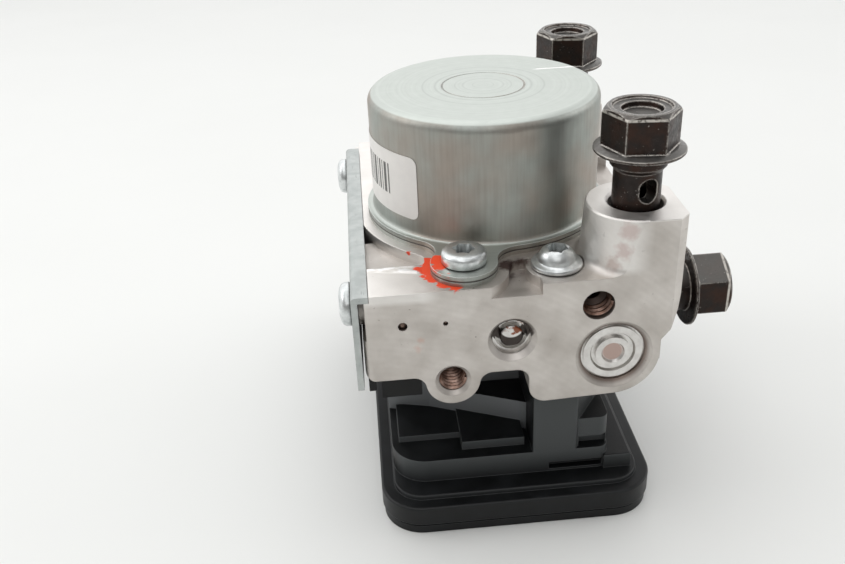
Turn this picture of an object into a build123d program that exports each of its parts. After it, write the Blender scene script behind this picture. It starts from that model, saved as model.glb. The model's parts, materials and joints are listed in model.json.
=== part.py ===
# Brake pressure modulator of a two-channel anti-lock system, in millimetres.
# A pump motor stands on a machined valve block, and a moulded control unit hangs below it.
# The origin lies under the cover, on the motor's axis. +Z is up, and the front face looks to -Y.

import os
from math import cos, pi, radians, sin, sqrt

from build123d import *

# The can's radius and the outlines that follow it
CAN_RADIUS = 23.0
BLOCK_LEFT_MARGIN = 4.2
BLOCK_RIGHT_MARGIN = 8.4
BLOCK_FRONT_MARGIN = 13.1
BLOCK_REAR_MARGIN = 18.0
BLOCK_LEFT_X = -(CAN_RADIUS + BLOCK_LEFT_MARGIN)
BLOCK_RIGHT_X = CAN_RADIUS + BLOCK_RIGHT_MARGIN
BLOCK_FRONT_Y = -(CAN_RADIUS + BLOCK_FRONT_MARGIN)
BLOCK_REAR_Y = CAN_RADIUS + BLOCK_REAR_MARGIN

# Cuts run this far past what they cut, and plans this far past the whole module
CUT_OVERRUN = 9.0
PLAN_REACH = 60.0

# Control unit, from the floor up
COVER_THICKNESS = 1.8
COVER_INSET = 0.35
SEAM_HEIGHT = 0.6
SEAM_DEPTH = 1.3
COVER_STEP = 0.5
COVER_STEP_CLEARANCE = 0.15
RIM_TOP_Z = 6.6
RIM_LEFT_X = BLOCK_LEFT_X + 1.1
RIM_RIGHT_X = BLOCK_RIGHT_X - 2.3
RIM_FRONT_Y = BLOCK_FRONT_Y - 3.3
RIM_REAR_Y = BLOCK_REAR_Y + 2.4
RIM_CORNER_RADIUS = 8.5
RIM_WALL = 2.6
RIM_LIP = 2.6
TIER_HEIGHT = 1.0
RIM_EDGE_ROUNDING = 0.5
TIER_EDGE_ROUNDING = 0.35
BODY_LEFT_X = RIM_LEFT_X + 2.8
BODY_RIGHT_X = RIM_RIGHT_X - 8.7
BODY_FRONT_Y = BLOCK_FRONT_Y + 3.6
BODY_REAR_Y = BLOCK_REAR_Y - 2.5
BODY_FLOOR_Z = 12.75
BODY_CORNER_RADIUS = 7.0
BODY_RIGHT_CORNER_RADIUS = 2.0
HOUSING_WALL = 1.7
BOARD_THICKNESS = 1.6
BOARD_GAP = 0.4
HOUSING_TOP_Z = 35.0
SEAL_THICKNESS = 0.8
SEAL_WIDTH = 1.4
FLANGE_THICKNESS = 3.7
FLANGE_SIDE_GAP = 0.4
FLANGE_RIGHT_X = BLOCK_RIGHT_X - 4.0
FLANGE_INNER_RIGHT_X = BODY_RIGHT_X
COLUMN_WIDTH = 8.8
COLUMN_REAR_Y = BODY_FRONT_Y + 7.8
COLUMN_GAP = 0.3
COLUMN_EDGE_ROUNDING = 0.6
PLATFORM_TOP_Z = 19.5
TOWER_LEFT_Y = BODY_FRONT_Y + 18.8
TOWER_BEND_X = BODY_LEFT_X + 8.7
TOWER_BEND_Y = BODY_FRONT_Y + 16.5
TOWER_RIGHT_Y = BODY_FRONT_Y + 9.7
TOWER_REAR_WALL = 4.0
WINDOW_MARGIN = 0.5
FINGER_INSET = 2.7
FINGER_SETBACK = 6.1
FINGER_DROP = 7.4
FINGER_NARROW_DROP = 3.5
FINGER_SIDE_GAP = 0.5
TAB_WIDTH = 1.4
TAB_SETBACK = 2.5
TAB_DROP = 3.0
STEP_X = -9.2
LOW_STEP_Y = -25.7
LOW_STEP_HEIGHT = 1.35
HIGH_STEP_Y = -29.7
HIGH_STEP_HEIGHT = 1.9
LOW_SLOT_BOTTOM_Z = 8.1
LOW_SLOT_HEIGHT = 1.7
HIGH_SLOT_HEIGHT = 2.35
SLOT_DEPTH = 1.5
SLOT_LEFT_MARGIN = 0.7
LOW_SLOT_RIGHT_MARGIN = 1.2
HIGH_SLOT_RIGHT_MARGIN = 0.5
SIDE_BOX_TOP_Z = 19.6
SIDE_BOX_SETBACK = 0.8
SIDE_BOX_REAR_Y = -18.0
SHELF_RIGHT_MARGIN = 4.1
SHELF_FRONT_SETBACK = 3.1
SHELF_REAR_Y = -8.0
SHELF_TOP_Z = 10.7
SHELF_EDGE_ROUNDING = 0.3

# Connector at the back of the control unit
SOCKET_WIDTH = 26.0
SOCKET_HEIGHT = 13.0
SOCKET_LENGTH = 13.5
SOCKET_WALL = 1.6
SOCKET_CENTRE_X = -6.0
SOCKET_BOTTOM_Z = 9.2
PIN_ROWS = 2
PINS_PER_ROW = 6
PIN_PITCH = 3.4
PIN_SIDE = 0.8
PIN_LENGTH = 9.0

# Valve block
BLOCK_HEIGHT = 18.0
LOBE_DEPTH = 15.0
LOBE_FILLET = 2.4
M6_HOLE_X = -11.1
M6_HOLE_DROP = 1.25
M6_TAP_RADIUS = 2.6
M6_CHAMFER_RADIUS = 3.4
M6_DEPTH = 11.0
M6_LOBE_RADIUS = 5.1
RIGHT_CUT_DEPTH = 10.0
CORNER_BOSS_RADIUS = 3.2
CORNER_BOSS_DROP = 4.4
CORNER_BOSS_X = 6.4
BLOCK_CORNER_ROUNDING = 2.0
BLOCK_LEFT_EDGE_ROUNDING = 1.4
BLOCK_RIGHT_EDGE_CHAMFER = 2.0
EDGE_CUT_FIRST_RISE = 2.6
EDGE_CUT_STEP = 1.9
EDGE_CUT_STEP_RISE = 5.0
EDGE_CUT_SHOULDER = 0.4
EDGE_CUT_SHOULDER_RISE = 8.2
EDGE_CUT_TOP_RISE = 11.0

# Lowered areas of the motor face
POCKET_DEPTH = 2.2
LEFT_LEDGE_Y = -25.5
GAP_FRONT_Y = -10.7
GAP_REAR_Y = -6.0
GAP_WIDTH = 5.0
GAP_DEPTH = 9.0
SCALLOP_LEFT_X = -3.9
SCALLOP_RIGHT_X = 5.4
SCREW_LAND = 0.9
TURRET_SIDE_LAND = 2.4

# Brake line ports and their hollow bolts
TURRET_X = BLOCK_RIGHT_X - 7.55
TURRET_INSET = 9.1
TURRET_RADIUS = 9.1
TURRET_HEIGHT = 10.8
TURRET_DRAFT = 0.6
TURRET_FLARE = 1.6
TURRET_TOP_EDGE = 0.3
TURRET_CAN_GAP = 0.3
TURRET_WASHER_GAP = 0.25
PORT_RADIUS = 5.0
PORT_MOUTH_RADIUS = 5.5
PORT_DEPTH = 12.4
SIDE_PORT_INSET = 20.0
SIDE_PORT_Z = 39.4
SIDE_PORT_DEPTH = 10.8
SIDE_BOSS_RADIUS = 7.0
SIDE_BOSS_DEPTH = 10.0
SPOT_FACE_RADIUS = 8.4
SPOT_FACE_DEPTH = 0.4
BOLT_THREAD_CLEARANCE = 0.05
BOLT_FLANGE_RADIUS = 8.15
BOLT_FLANGE_THICKNESS = 1.1
BOLT_HEX_ACROSS_FLATS = 12.0
BOLT_HEX_HEIGHT = 7.0
BOLT_SHANK = 17.0
BOLT_NECK_RADIUS = 4.35
BOLT_FLANGE_EDGE = 0.6
BOLT_FLANGE_SLOPE = 1.3
BOLT_COLLAR_RADIUS = 5.1
BOLT_COLLAR_LENGTH = 2.4
BOLT_COLLAR_SLOPE = 0.9
BOLT_NECK_END = 11.2
BOLT_CROSS_DROP = 6.4
BOLT_CROSS_STRETCH = 0.5
BOLT_HEX_TURN = -20.0
BOLT_HEX_LIP = 0.6
BOLT_HEX_LIP_DEPTH = 0.5
BOLT_HEX_ROUNDING = 1.2
BOLT_CROSS_RADIUS = 1.75
BOLT_BORE_RADIUS = 1.8
BOLT_RECESS_RADIUS = 3.7
BOLT_RECESS_DEPTH = 1.5
FRONT_BOLT_GAP = 9.7
REAR_BOLT_GAP = 8.2
SIDE_BOLT_GAP = 7.2
FRONT_BOLT_TURN = 13.0
REAR_BOLT_TURN = 9.5
SIDE_BOLT_TURN = 20.0

# Motor can
CAN_WALL = 1.4
CAN_HEIGHT = 25.5
CAN_EDGE_RADIUS = 2.0
CAN_FLANGE_THICKNESS = 1.9
CAN_FLANGE_WIDTH = 1.4
CAN_FOOT_ROUNDING = 0.9
EAR_REACH = 6.93
EAR_ANGLE = -105.1
EAR_RADIUS = 6.2
EAR_BLEND = 5.0
PAD_MARGIN = 2.0
DISC_RADIUS = 8.13
DISC_GROOVE = 0.25
STAMP_ANGLE = 11.6
STAMP_WIDTH = 1.0
STAMP_HEIGHT = 1.4
STAMP_DEPTH = 0.25
STAMP_RISE = 5.7

# Rotor, bearings and brushes
SHAFT_RADIUS = 2.5
BUSH_RADIUS = 4.0
BUSH_LENGTH = 3.4
BUSH_CLEARANCE = 0.02
BEARING_RADIUS = 8.0
BEARING_WIDTH = 5.0
BEARING_INNER_RING_RADIUS = 4.1
BEARING_OUTER_RING_BORE = 6.4
BALL_RADIUS = 1.5
BALL_COUNT = 7
RACE_GAP = 0.03
MAGNET_THICKNESS = 3.0
MAGNET_LENGTH = 17.0
MAGNET_ANGLE = 140.0
AIR_GAP = 0.6
CORE_LENGTH = 11.0
CORE_HUB_RADIUS = 7.0
SLOT_COUNT = 10
WINDING_OVERHANG = 2.2
WINDING_CLEARANCE = 0.15
COMMUTATOR_RADIUS = 5.2
COMMUTATOR_LENGTH = 5.2
BRUSH_WIDTH = 3.2
BRUSH_LENGTH = 6.4
BRUSH_HEIGHT = 2.6
BRUSH_WALL = 0.9
HOLDER_THICKNESS = 1.6
CORE_LIP = 1.6
SLOT_WIDTH = 4.2
SLOT_MOUTH = 1.2

# Pump
CHAMBER_RADIUS = 7.4
CHAMBER_FLOOR = 2.5
ECCENTRICITY = 0.9
JOURNAL_RADIUS = 3.5
JOURNAL_LENGTH = 7.0
RING_RADIUS = 5.5
PUMP_DROP = 11.3
PISTON_RADIUS = 3.0
PISTON_CLEARANCE = 0.04
PISTON_LENGTH = 10.5
PISTON_TIP_GAP = 0.25
PUMP_PLUG_RADIUS = 3.6
PUMP_PLUG_LENGTH = 6.0
PUMP_PLUG_RECESS = 1.5
PUMP_MOUTH_RADIUS = 4.6
PUMP_BUTTON_RADIUS = 2.15
PUMP_BUTTON_RISE = 0.3
PUMP_RING_RADIUS = 3.0
PUMP_RING_DROP = 0.3
PUMP_GROOVE_DEPTH = 1.5
SPRING_WIRE = 0.6
PUMP_SPRING_RADIUS = 2.2
PUMP_SPRING_TURNS = 5

# Accumulators
ACCUMULATOR_X = 19.1
ACCUMULATOR_RISE = 1.6
ACCUMULATOR_BORE_RADIUS = 5.6
ACCUMULATOR_DEPTH = 13.4
CAP_RADIUS = 6.1
CAP_THICKNESS = 3.0
CAP_RECESS = 1.0
CAP_MOUTH_RADIUS = 7.3
CAP_STEP = 0.5
CAP_OUTER_RING = 4.3
CAP_INNER_RING = 3.3
CAP_GROOVE = 0.5
CAP_DIMPLE_RADIUS = 1.9
ACCUMULATOR_LOBE_RADIUS = 8.7
ACCUMULATOR_PISTON_LENGTH = 4.4
ACCUMULATOR_PISTON_CLEARANCE = 0.05
ACCUMULATOR_SPRING_RADIUS = 3.8
ACCUMULATOR_SPRING_TURNS = 3.5

# Valves and coils
VALVE_X = 11.5
FRONT_VALVE_Y = -6.2
REAR_VALVE_Y = 11.1
VALVE_RADIUS = 4.2
VALVE_SEAT_DEPTH = 9.0
STEM_RADIUS = 3.1
STEM_LENGTH = 16.3
ARMATURE_RADIUS = 2.2
ARMATURE_LENGTH = 8.4
ARMATURE_CLEARANCE = 0.05
ARMATURE_STROKE = 0.4
NEEDLE_RADIUS = 0.6
NEEDLE_LENGTH = 10.0
NEEDLE_BORE_RADIUS = 0.8
SEAT_BORE_RADIUS = 0.35
SEAT_DEPTH = 4.8
COIL_RADIUS = 7.0
COIL_HEIGHT = 12.0

# Small holes, screws and balls
STEPPED_HOLE_X = 15.7
STEPPED_HOLE_DROP = 5.35
STEPPED_HOLE_RADIUS = 2.96
STEPPED_HOLE_DEPTH = 5.0
STEPPED_HOLE_INNER_RADIUS = 1.9
STEPPED_HOLE_INNER_DEPTH = 11.0
BALL_PLUG_DROP = 6.6
BALL_PLUG_DEPTH = 0.35
BALL_PLUGS = ((-19.9, 0.85), (-12.15, 0.45))
M4_RADIUS = 2.0
SCREW_FIT = 0.03
SCREW_HOLE_CLEARANCE = 0.25
MOTOR_SCREW_HEAD_RADIUS = 4.15
MOTOR_SCREW_HEAD_HEIGHT = 2.7
MOTOR_SCREW_LENGTH = 9.0
LOBE_SOCKET_RADIUS = 1.75
LOBE_SOCKET_DEPTH = 1.6
ECU_SCREW_X = 9.2
ECU_SCREW_Y = -(CAN_RADIUS + 6.4)
REAR_ECU_SCREW_X = -12.0
REAR_ECU_SCREW_Y = BLOCK_REAR_Y - 7.5
ECU_SCREW_HEAD_RADIUS = 3.5
ECU_SCREW_WASHER_RADIUS = 4.75
ECU_SCREW_WASHER = 1.0
ECU_SCREW_HEAD_HEIGHT = 2.6
ECU_SCREW_GRIP = 9.0

# Left bracket
BRACKET_SHEET = 1.2
BRACKET_OUTER_X = BLOCK_LEFT_X - 1.65
BRACKET_BOTTOM_Z = 33.8
BRACKET_REAR_Y = BLOCK_REAR_Y - 4.0
BRACKET_CORNER_RADIUS = 0.6
BRACKET_SCREW_DROP = 5.4
BRACKET_SCREW_YS = (BLOCK_FRONT_Y + 7.7, BLOCK_REAR_Y - 7.8)
BRACKET_SCREW_HEAD_RADIUS = 4.1
BRACKET_SCREW_HEAD_HEIGHT = 2.3
BRACKET_SCREW_LENGTH = 8.0
BRACKET_PAD_RADIUS = 4.0
BRACKET_BEND_RADIUS = 0.9
BRACKET_LIP_X = BLOCK_LEFT_X + 1.5
BRACKET_LIP_GAP = 0.1
BRACKET_RELIEF_DEPTH = 0.6
BRACKET_RELIEF_Z = 44.6

# Levels and places that follow from the sizes above
BLOCK_BOTTOM_Z = HOUSING_TOP_Z + SEAL_THICKNESS
MOTOR_FACE_Z = BLOCK_BOTTOM_Z + BLOCK_HEIGHT
CAN_TOP_Z = MOTOR_FACE_Z + CAN_HEIGHT
FRONT_TURRET_Y = BLOCK_FRONT_Y + TURRET_INSET
REAR_TURRET_Y = BLOCK_REAR_Y - TURRET_INSET
TURRET_TOP_Z = MOTOR_FACE_Z + TURRET_HEIGHT
FRONT_SIDE_PORT_Y = BLOCK_FRONT_Y + SIDE_PORT_INSET
REAR_SIDE_PORT_Y = BLOCK_REAR_Y - SIDE_PORT_INSET
PUMP_Z = MOTOR_FACE_Z - PUMP_DROP
M6_HOLE_Z = BLOCK_BOTTOM_Z - M6_HOLE_DROP
ACCUMULATOR_Z = BLOCK_BOTTOM_Z + ACCUMULATOR_RISE
CORNER_BOSS_Z = BLOCK_BOTTOM_Z - CORNER_BOSS_DROP
LOBE_BOTTOM_Z = ACCUMULATOR_Z - ACCUMULATOR_LOBE_RADIUS
CHAMBER_FLOOR_Z = BLOCK_BOTTOM_Z + CHAMBER_FLOOR
COVER_TOP_Z = COVER_THICKNESS
RIM_BOTTOM_Z = COVER_THICKNESS + SEAM_HEIGHT
BOARD_TOP_Z = RIM_TOP_Z - HOUSING_WALL
FLANGE_BOTTOM_Z = HOUSING_TOP_Z - FLANGE_THICKNESS
COLUMN_TOP_Z = min(LOBE_BOTTOM_Z, CORNER_BOSS_Z - CORNER_BOSS_RADIUS) - COLUMN_GAP
BRACKET_TOP_Z = MOTOR_FACE_Z
BRACKET_SCREW_Z = BRACKET_TOP_Z - BRACKET_SCREW_DROP
CAN_BORE_RADIUS = CAN_RADIUS - CAN_WALL
MAGNET_BORE_RADIUS = CAN_BORE_RADIUS - MAGNET_THICKNESS
CORE_RADIUS = MAGNET_BORE_RADIUS - AIR_GAP
HOLDER_TOP_Z = MOTOR_FACE_Z + HOLDER_THICKNESS
BRUSH_TOP_Z = HOLDER_TOP_Z + BRUSH_HEIGHT
WINDING_BOTTOM_Z = BRUSH_TOP_Z + BRUSH_WALL + 0.3
CORE_BOTTOM_Z = WINDING_BOTTOM_Z + WINDING_OVERHANG
CORE_TOP_Z = CORE_BOTTOM_Z + CORE_LENGTH
BUSH_TOP_Z = CAN_TOP_Z - CAN_WALL
BUSH_BOTTOM_Z = BUSH_TOP_Z - BUSH_LENGTH
PISTON_TIP = RING_RADIUS + ECCENTRICITY + PISTON_TIP_GAP
ECU_SCREWS = ((ECU_SCREW_X, ECU_SCREW_Y), (REAR_ECU_SCREW_X, REAR_ECU_SCREW_Y))
CAN_FLANGE_RADIUS = CAN_RADIUS + CAN_FLANGE_WIDTH
EAR_X = (CAN_RADIUS + EAR_REACH) * cos(radians(EAR_ANGLE))
EAR_Y = (CAN_RADIUS + EAR_REACH) * sin(radians(EAR_ANGLE))
EARS = ((EAR_X, EAR_Y), (-EAR_X, -EAR_Y))
VALVES = tuple((x, y) for y in (FRONT_VALVE_Y, REAR_VALVE_Y) for x in (-VALVE_X, VALVE_X))


def block(x_range, y_range, z_range):
    """A box between two corners."""
    (x0, x1), (y0, y1), (z0, z1) = x_range, y_range, z_range
    middle = Pos((x0 + x1) / 2, (y0 + y1) / 2, (z0 + z1) / 2)
    return middle * Box(x1 - x0, y1 - y0, z1 - z0)


def rod(radius, start, end):
    """A round bar from one point to another."""
    path = Vector(*end) - Vector(*start)
    bar = Cylinder(radius, path.length, align=(Align.CENTER, Align.CENTER, Align.MIN))
    return Plane(origin=start, z_dir=path) * bar


def upright(radius, x, y, bottom, top):
    """A round bar along Z."""
    return rod(radius, (x, y, bottom), (x, y, top))


def turned(outline, origin=(0, 0, 0), direction=(0, 0, 1)):
    """A turned piece: its half outline of radius and height, spun about an axis."""
    half = make_face(Plane.XZ * Polyline(*outline, close=True))
    return Plane(origin=origin, z_dir=direction) * revolve(half, Axis.Z)


def raised(sketch, bottom, top):
    """A flat outline drawn out along Z."""
    return Pos(0, 0, bottom) * extrude(sketch, top - bottom)


def plan_rectangle(x_range, y_range):
    """A rectangle seen from above."""
    (x0, x1), (y0, y1) = x_range, y_range
    return Pos((x0 + x1) / 2, (y0 + y1) / 2) * Rectangle(x1 - x0, y1 - y0)


def mirrored_y(shape):
    """The twin on the rear face, mirrored in the block's middle plane."""
    middle = Plane.XZ.offset(-(BLOCK_FRONT_Y + BLOCK_REAR_Y) / 2)
    return mirror(shape, about=middle)


def coil_spring(radius, wire, turns, start, direction, length):
    """A spring of square wire from a point along an axis, with both ends seated."""
    rise = length - wire
    path = Helix(pitch=rise / turns, height=rise, radius=radius)
    section = Plane(origin=path @ 0, z_dir=path % 0, x_dir=(1, 0, 0)) * Rectangle(wire, wire)
    wound = sweep(section, path=path, is_frenet=True)
    return Plane(origin=start, z_dir=direction) * Pos(0, 0, wire / 2) * wound


# Valve block

def front_outline():
    """The front face of the block, seen along Y: body, thread lobe and accumulator lobe."""
    left, right = BLOCK_LEFT_X, BLOCK_RIGHT_X
    face = Pos((left + right) / 2, (BLOCK_BOTTOM_Z + MOTOR_FACE_Z) / 2) * Rectangle(
        right - left, BLOCK_HEIGHT
    )
    face += Pos(M6_HOLE_X, M6_HOLE_Z) * Circle(M6_LOBE_RADIUS)
    face += accumulator_lobe_outline()
    corners = face.vertices().filter_by(lambda v: abs(v.Y - BLOCK_BOTTOM_Z) < 0.01)
    inner = corners.filter_by(lambda v: left + 1 < v.X < BLOCK_RIGHT_X - 4)
    face = fillet(inner, LOBE_FILLET)
    outer = face.vertices().filter_by(lambda v: v.X < left + 0.01 and v.Y < BLOCK_BOTTOM_Z + 0.01)
    face = fillet(outer, BLOCK_CORNER_ROUNDING)
    return face - right_edge_cut()


def accumulator_lobe_outline():
    """The lobe round the accumulator, drawn out to the corner boss of the long screw."""
    ring = Pos(ACCUMULATOR_X, ACCUMULATOR_Z) * Circle(ACCUMULATOR_LOBE_RADIUS)
    corner = Pos(CORNER_BOSS_X, CORNER_BOSS_Z) * Circle(CORNER_BOSS_RADIUS)
    lobe = make_hull(ring.edges() + corner.edges())
    top = (CORNER_BOSS_X - CORNER_BOSS_RADIUS, BLOCK_BOTTOM_Z + 1)
    foot = (CORNER_BOSS_X - CORNER_BOSS_RADIUS, CORNER_BOSS_Z)
    fill = Polyline(foot, top, (ACCUMULATOR_X, top[1]), (ACCUMULATOR_X, foot[1]), close=True)
    return lobe + make_face(fill)


def right_edge_cut():
    """The stepped hollow that runs up the right edge of the front face."""
    lobe_right = ACCUMULATOR_X + ACCUMULATOR_LOBE_RADIUS
    out = BLOCK_RIGHT_X + 5
    points = (
        (lobe_right, LOBE_BOTTOM_Z - 1),
        (lobe_right, ACCUMULATOR_Z + EDGE_CUT_FIRST_RISE),
        (lobe_right + EDGE_CUT_STEP, ACCUMULATOR_Z + EDGE_CUT_STEP_RISE),
        (BLOCK_RIGHT_X - EDGE_CUT_SHOULDER, ACCUMULATOR_Z + EDGE_CUT_SHOULDER_RISE),
        (BLOCK_RIGHT_X, ACCUMULATOR_Z + EDGE_CUT_TOP_RISE),
        (out, ACCUMULATOR_Z + EDGE_CUT_TOP_RISE),
        (out, LOBE_BOTTOM_Z - 1),
    )
    return make_face(Polyline(*points, close=True))


def along_y(sketch, start, depth):
    """An outline in X and Z drawn out towards the back."""
    front = Plane(origin=(0, start, 0), x_dir=(1, 0, 0), z_dir=(0, -1, 0))
    return front * extrude(sketch, -depth)


def turret(y, outward):
    """A port turret: a drafted round with a flared foot, cut flush with two faces of the block."""
    edge = y + outward * TURRET_INSET
    y_range = sorted((y, edge))
    foot, flare, top = TURRET_RADIUS + TURRET_DRAFT, TURRET_FLARE, TURRET_HEIGHT
    wall = Polyline(
        (foot, flare),
        (TURRET_RADIUS, top - TURRET_TOP_EDGE),
        (TURRET_RADIUS - TURRET_TOP_EDGE, top),
        (0, top),
        (0, -1),
        (foot + flare, -1),
        (foot + flare, 0),
    )
    bend = flare * (1 - sqrt(0.5))
    sweep_in = ThreePointArc((foot + flare, 0), (foot + bend, bend), (foot, flare))
    half = make_face(Plane.XZ * (wall + sweep_in))
    body = Pos(TURRET_X, y, MOTOR_FACE_Z) * revolve(half, Axis.Z)
    body += raised(plan_rectangle((TURRET_X, BLOCK_RIGHT_X), y_range), MOTOR_FACE_Z - 1, TURRET_TOP_Z)
    reach = TURRET_RADIUS + TURRET_DRAFT + TURRET_FLARE + 1
    y_limits = sorted((y - outward * reach, edge))
    body &= block((TURRET_X - reach, BLOCK_RIGHT_X), y_limits, (MOTOR_FACE_Z - 1, TURRET_TOP_Z))
    body -= raised(flange_plan(TURRET_CAN_GAP), MOTOR_FACE_Z, TURRET_TOP_Z + 1)
    washer = ECU_SCREW_WASHER_RADIUS + TURRET_WASHER_GAP
    return body - upright(washer, ECU_SCREW_X, ECU_SCREW_Y, MOTOR_FACE_Z, TURRET_TOP_Z)


def left_edge_rounding(y, inward):
    """What is cut away to round one left upright edge of the block."""
    x, inner_y = BLOCK_LEFT_X + BLOCK_LEFT_EDGE_ROUNDING, y + inward * BLOCK_LEFT_EDGE_ROUNDING
    corner = plan_rectangle((BLOCK_LEFT_X - 1, x), sorted((inner_y, y - inward)))
    corner -= Pos(x, inner_y) * Circle(BLOCK_LEFT_EDGE_ROUNDING)
    return raised(corner, LOBE_BOTTOM_Z - 1, TURRET_TOP_Z + 1)


def right_edge_chamfer(y, inward):
    """What is cut away to chamfer one right upright edge of the block."""
    x, inner_y = BLOCK_RIGHT_X - BLOCK_RIGHT_EDGE_CHAMFER, y + inward * BLOCK_RIGHT_EDGE_CHAMFER
    out_x, out_y = BLOCK_RIGHT_X + 1, y - inward
    corner = ((x, y), (BLOCK_RIGHT_X, inner_y), (out_x, inner_y), (out_x, out_y), (x, out_y))
    return raised(make_face(Polyline(*corner, close=True)), LOBE_BOTTOM_Z - 1, TURRET_TOP_Z + 1)


def port(mouth, direction, depth):
    """A tapped port: chamfered mouth, straight wall and conical floor."""
    lead = PORT_MOUTH_RADIUS - PORT_RADIUS
    outline = (
        (0, 1),
        (PORT_MOUTH_RADIUS + 1, 1),
        (PORT_MOUTH_RADIUS, 0),
        (PORT_RADIUS, -lead),
        (PORT_RADIUS, -depth + 1.2),
        (0, -depth),
    )
    return turned(outline, mouth, direction)


def motor_face_cuts():
    """The lowered areas of the motor face round the pad of the can."""
    pad = flange_plan(PAD_MARGIN)
    left = plan_rectangle((BLOCK_LEFT_X - 1, -CAN_RADIUS / 2), (LEFT_LEDGE_Y, GAP_REAR_Y)) - pad
    scallop = plan_rectangle((SCALLOP_LEFT_X, SCALLOP_RIGHT_X), (BLOCK_FRONT_Y - 1, -CAN_RADIUS)) - pad
    scallop -= Pos(ECU_SCREW_X, ECU_SCREW_Y) * Circle(ECU_SCREW_WASHER_RADIUS + SCREW_LAND)
    turret_reach = TURRET_RADIUS + TURRET_SIDE_LAND
    right = plan_rectangle((CAN_RADIUS * 0.7, BLOCK_RIGHT_X + 1),
                           (FRONT_TURRET_Y + turret_reach, REAR_TURRET_Y - turret_reach)) - pad
    floor = MOTOR_FACE_Z - POCKET_DEPTH
    cuts = raised(left, floor, MOTOR_FACE_Z + 1)
    cuts += raised(scallop, floor, MOTOR_FACE_Z + 1)
    cuts += raised(right, floor, MOTOR_FACE_Z + 1)
    gap = plan_rectangle((BLOCK_LEFT_X - 1, BLOCK_LEFT_X + GAP_WIDTH), (GAP_FRONT_Y, GAP_REAR_Y)) - pad
    return cuts + raised(gap, MOTOR_FACE_Z - GAP_DEPTH, MOTOR_FACE_Z + 1)


def bracket_seat():
    """The rebate for the bracket's lip and the relief behind its plate."""
    y_range = (BLOCK_FRONT_Y - 1, BLOCK_REAR_Y + 1)
    lip_floor = BRACKET_TOP_Z - BRACKET_SHEET
    top = MOTOR_FACE_Z + 1
    rebate = block((BLOCK_LEFT_X - 1, BRACKET_LIP_X + BRACKET_LIP_GAP), y_range, (lip_floor, top))
    relief = block((BLOCK_LEFT_X - 1, BLOCK_LEFT_X + BRACKET_RELIEF_DEPTH), y_range,
                   (BRACKET_RELIEF_Z, top))
    return rebate + relief


def front_bores():
    """The pump bore, the accumulator bore and their plug seats, cut from the front face."""
    front = BLOCK_FRONT_Y
    chamfer_depth = PUMP_MOUTH_RADIUS - PUMP_PLUG_RADIUS
    pump = (
        (0, -1),
        (PUMP_MOUTH_RADIUS + 1, -1),
        (PUMP_MOUTH_RADIUS, 0),
        (PUMP_PLUG_RADIUS, chamfer_depth),
        (PUMP_PLUG_RADIUS, PUMP_PLUG_RECESS + PUMP_PLUG_LENGTH),
        (PISTON_RADIUS, PUMP_PLUG_RECESS + PUMP_PLUG_LENGTH),
        (PISTON_RADIUS, -front),
        (0, -front),
    )
    mouth_depth = (CAP_MOUTH_RADIUS - CAP_RADIUS) * 0.8
    store = (
        (0, -1),
        (CAP_MOUTH_RADIUS + 1, -1),
        (CAP_MOUTH_RADIUS, 0),
        (CAP_RADIUS, mouth_depth),
        (CAP_RADIUS, CAP_RECESS + CAP_THICKNESS),
        (ACCUMULATOR_BORE_RADIUS, CAP_RECESS + CAP_THICKNESS),
        (ACCUMULATOR_BORE_RADIUS, ACCUMULATOR_DEPTH),
        (0, ACCUMULATOR_DEPTH),
    )
    bores = turned(pump, (0, front, PUMP_Z), (0, 1, 0))
    return bores + turned(store, (ACCUMULATOR_X, front, ACCUMULATOR_Z), (0, 1, 0))


def front_small_holes():
    """The tapped fixing hole, the stepped hole and the two ball seats of the front face."""
    front = BLOCK_FRONT_Y
    lead = M6_CHAMFER_RADIUS - M6_TAP_RADIUS
    tapped = (
        (0, -1),
        (M6_CHAMFER_RADIUS + 1, -1),
        (M6_CHAMFER_RADIUS, 0),
        (M6_TAP_RADIUS, lead),
        (M6_TAP_RADIUS, M6_DEPTH),
        (0, M6_DEPTH + 1.5),
    )
    stepped = (
        (0, -1),
        (STEPPED_HOLE_RADIUS, -1),
        (STEPPED_HOLE_RADIUS, STEPPED_HOLE_DEPTH),
        (STEPPED_HOLE_INNER_RADIUS, STEPPED_HOLE_DEPTH + 0.8),
        (STEPPED_HOLE_INNER_RADIUS, STEPPED_HOLE_INNER_DEPTH),
        (0, STEPPED_HOLE_INNER_DEPTH + 1.0),
    )
    holes = turned(tapped, (M6_HOLE_X, front, M6_HOLE_Z), (0, 1, 0))
    stepped_z = MOTOR_FACE_Z - STEPPED_HOLE_DROP
    holes += turned(stepped, (STEPPED_HOLE_X, front, stepped_z), (0, 1, 0))
    ball_z = MOTOR_FACE_Z - BALL_PLUG_DROP
    for x, radius in BALL_PLUGS:
        holes += rod(radius, (x, front - 1, ball_z), (x, front + 5, ball_z))
    return holes


def upright_bores():
    """Bores along Z: bearing seat, eccentric chamber, valve seats and screw holes."""
    face = MOTOR_FACE_Z
    bores = upright(BEARING_RADIUS, 0, 0, face - BEARING_WIDTH, face + 1)
    bores += upright(CHAMBER_RADIUS, 0, 0, CHAMBER_FLOOR_Z, face)
    for x, y in VALVES:
        bores += upright(VALVE_RADIUS, x, y, BLOCK_BOTTOM_Z - 1, BLOCK_BOTTOM_Z + VALVE_SEAT_DEPTH)
    for x, y in EARS:
        depth = MOTOR_SCREW_LENGTH + 1.0
        bores += upright(M4_RADIUS + SCREW_FIT, x, y, face - depth, face + 1)
    for x, y in ECU_SCREWS:
        bores += upright(M4_RADIUS + SCREW_HOLE_CLEARANCE, x, y, LOBE_BOTTOM_Z - 3, face + 1)
    return bores


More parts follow.
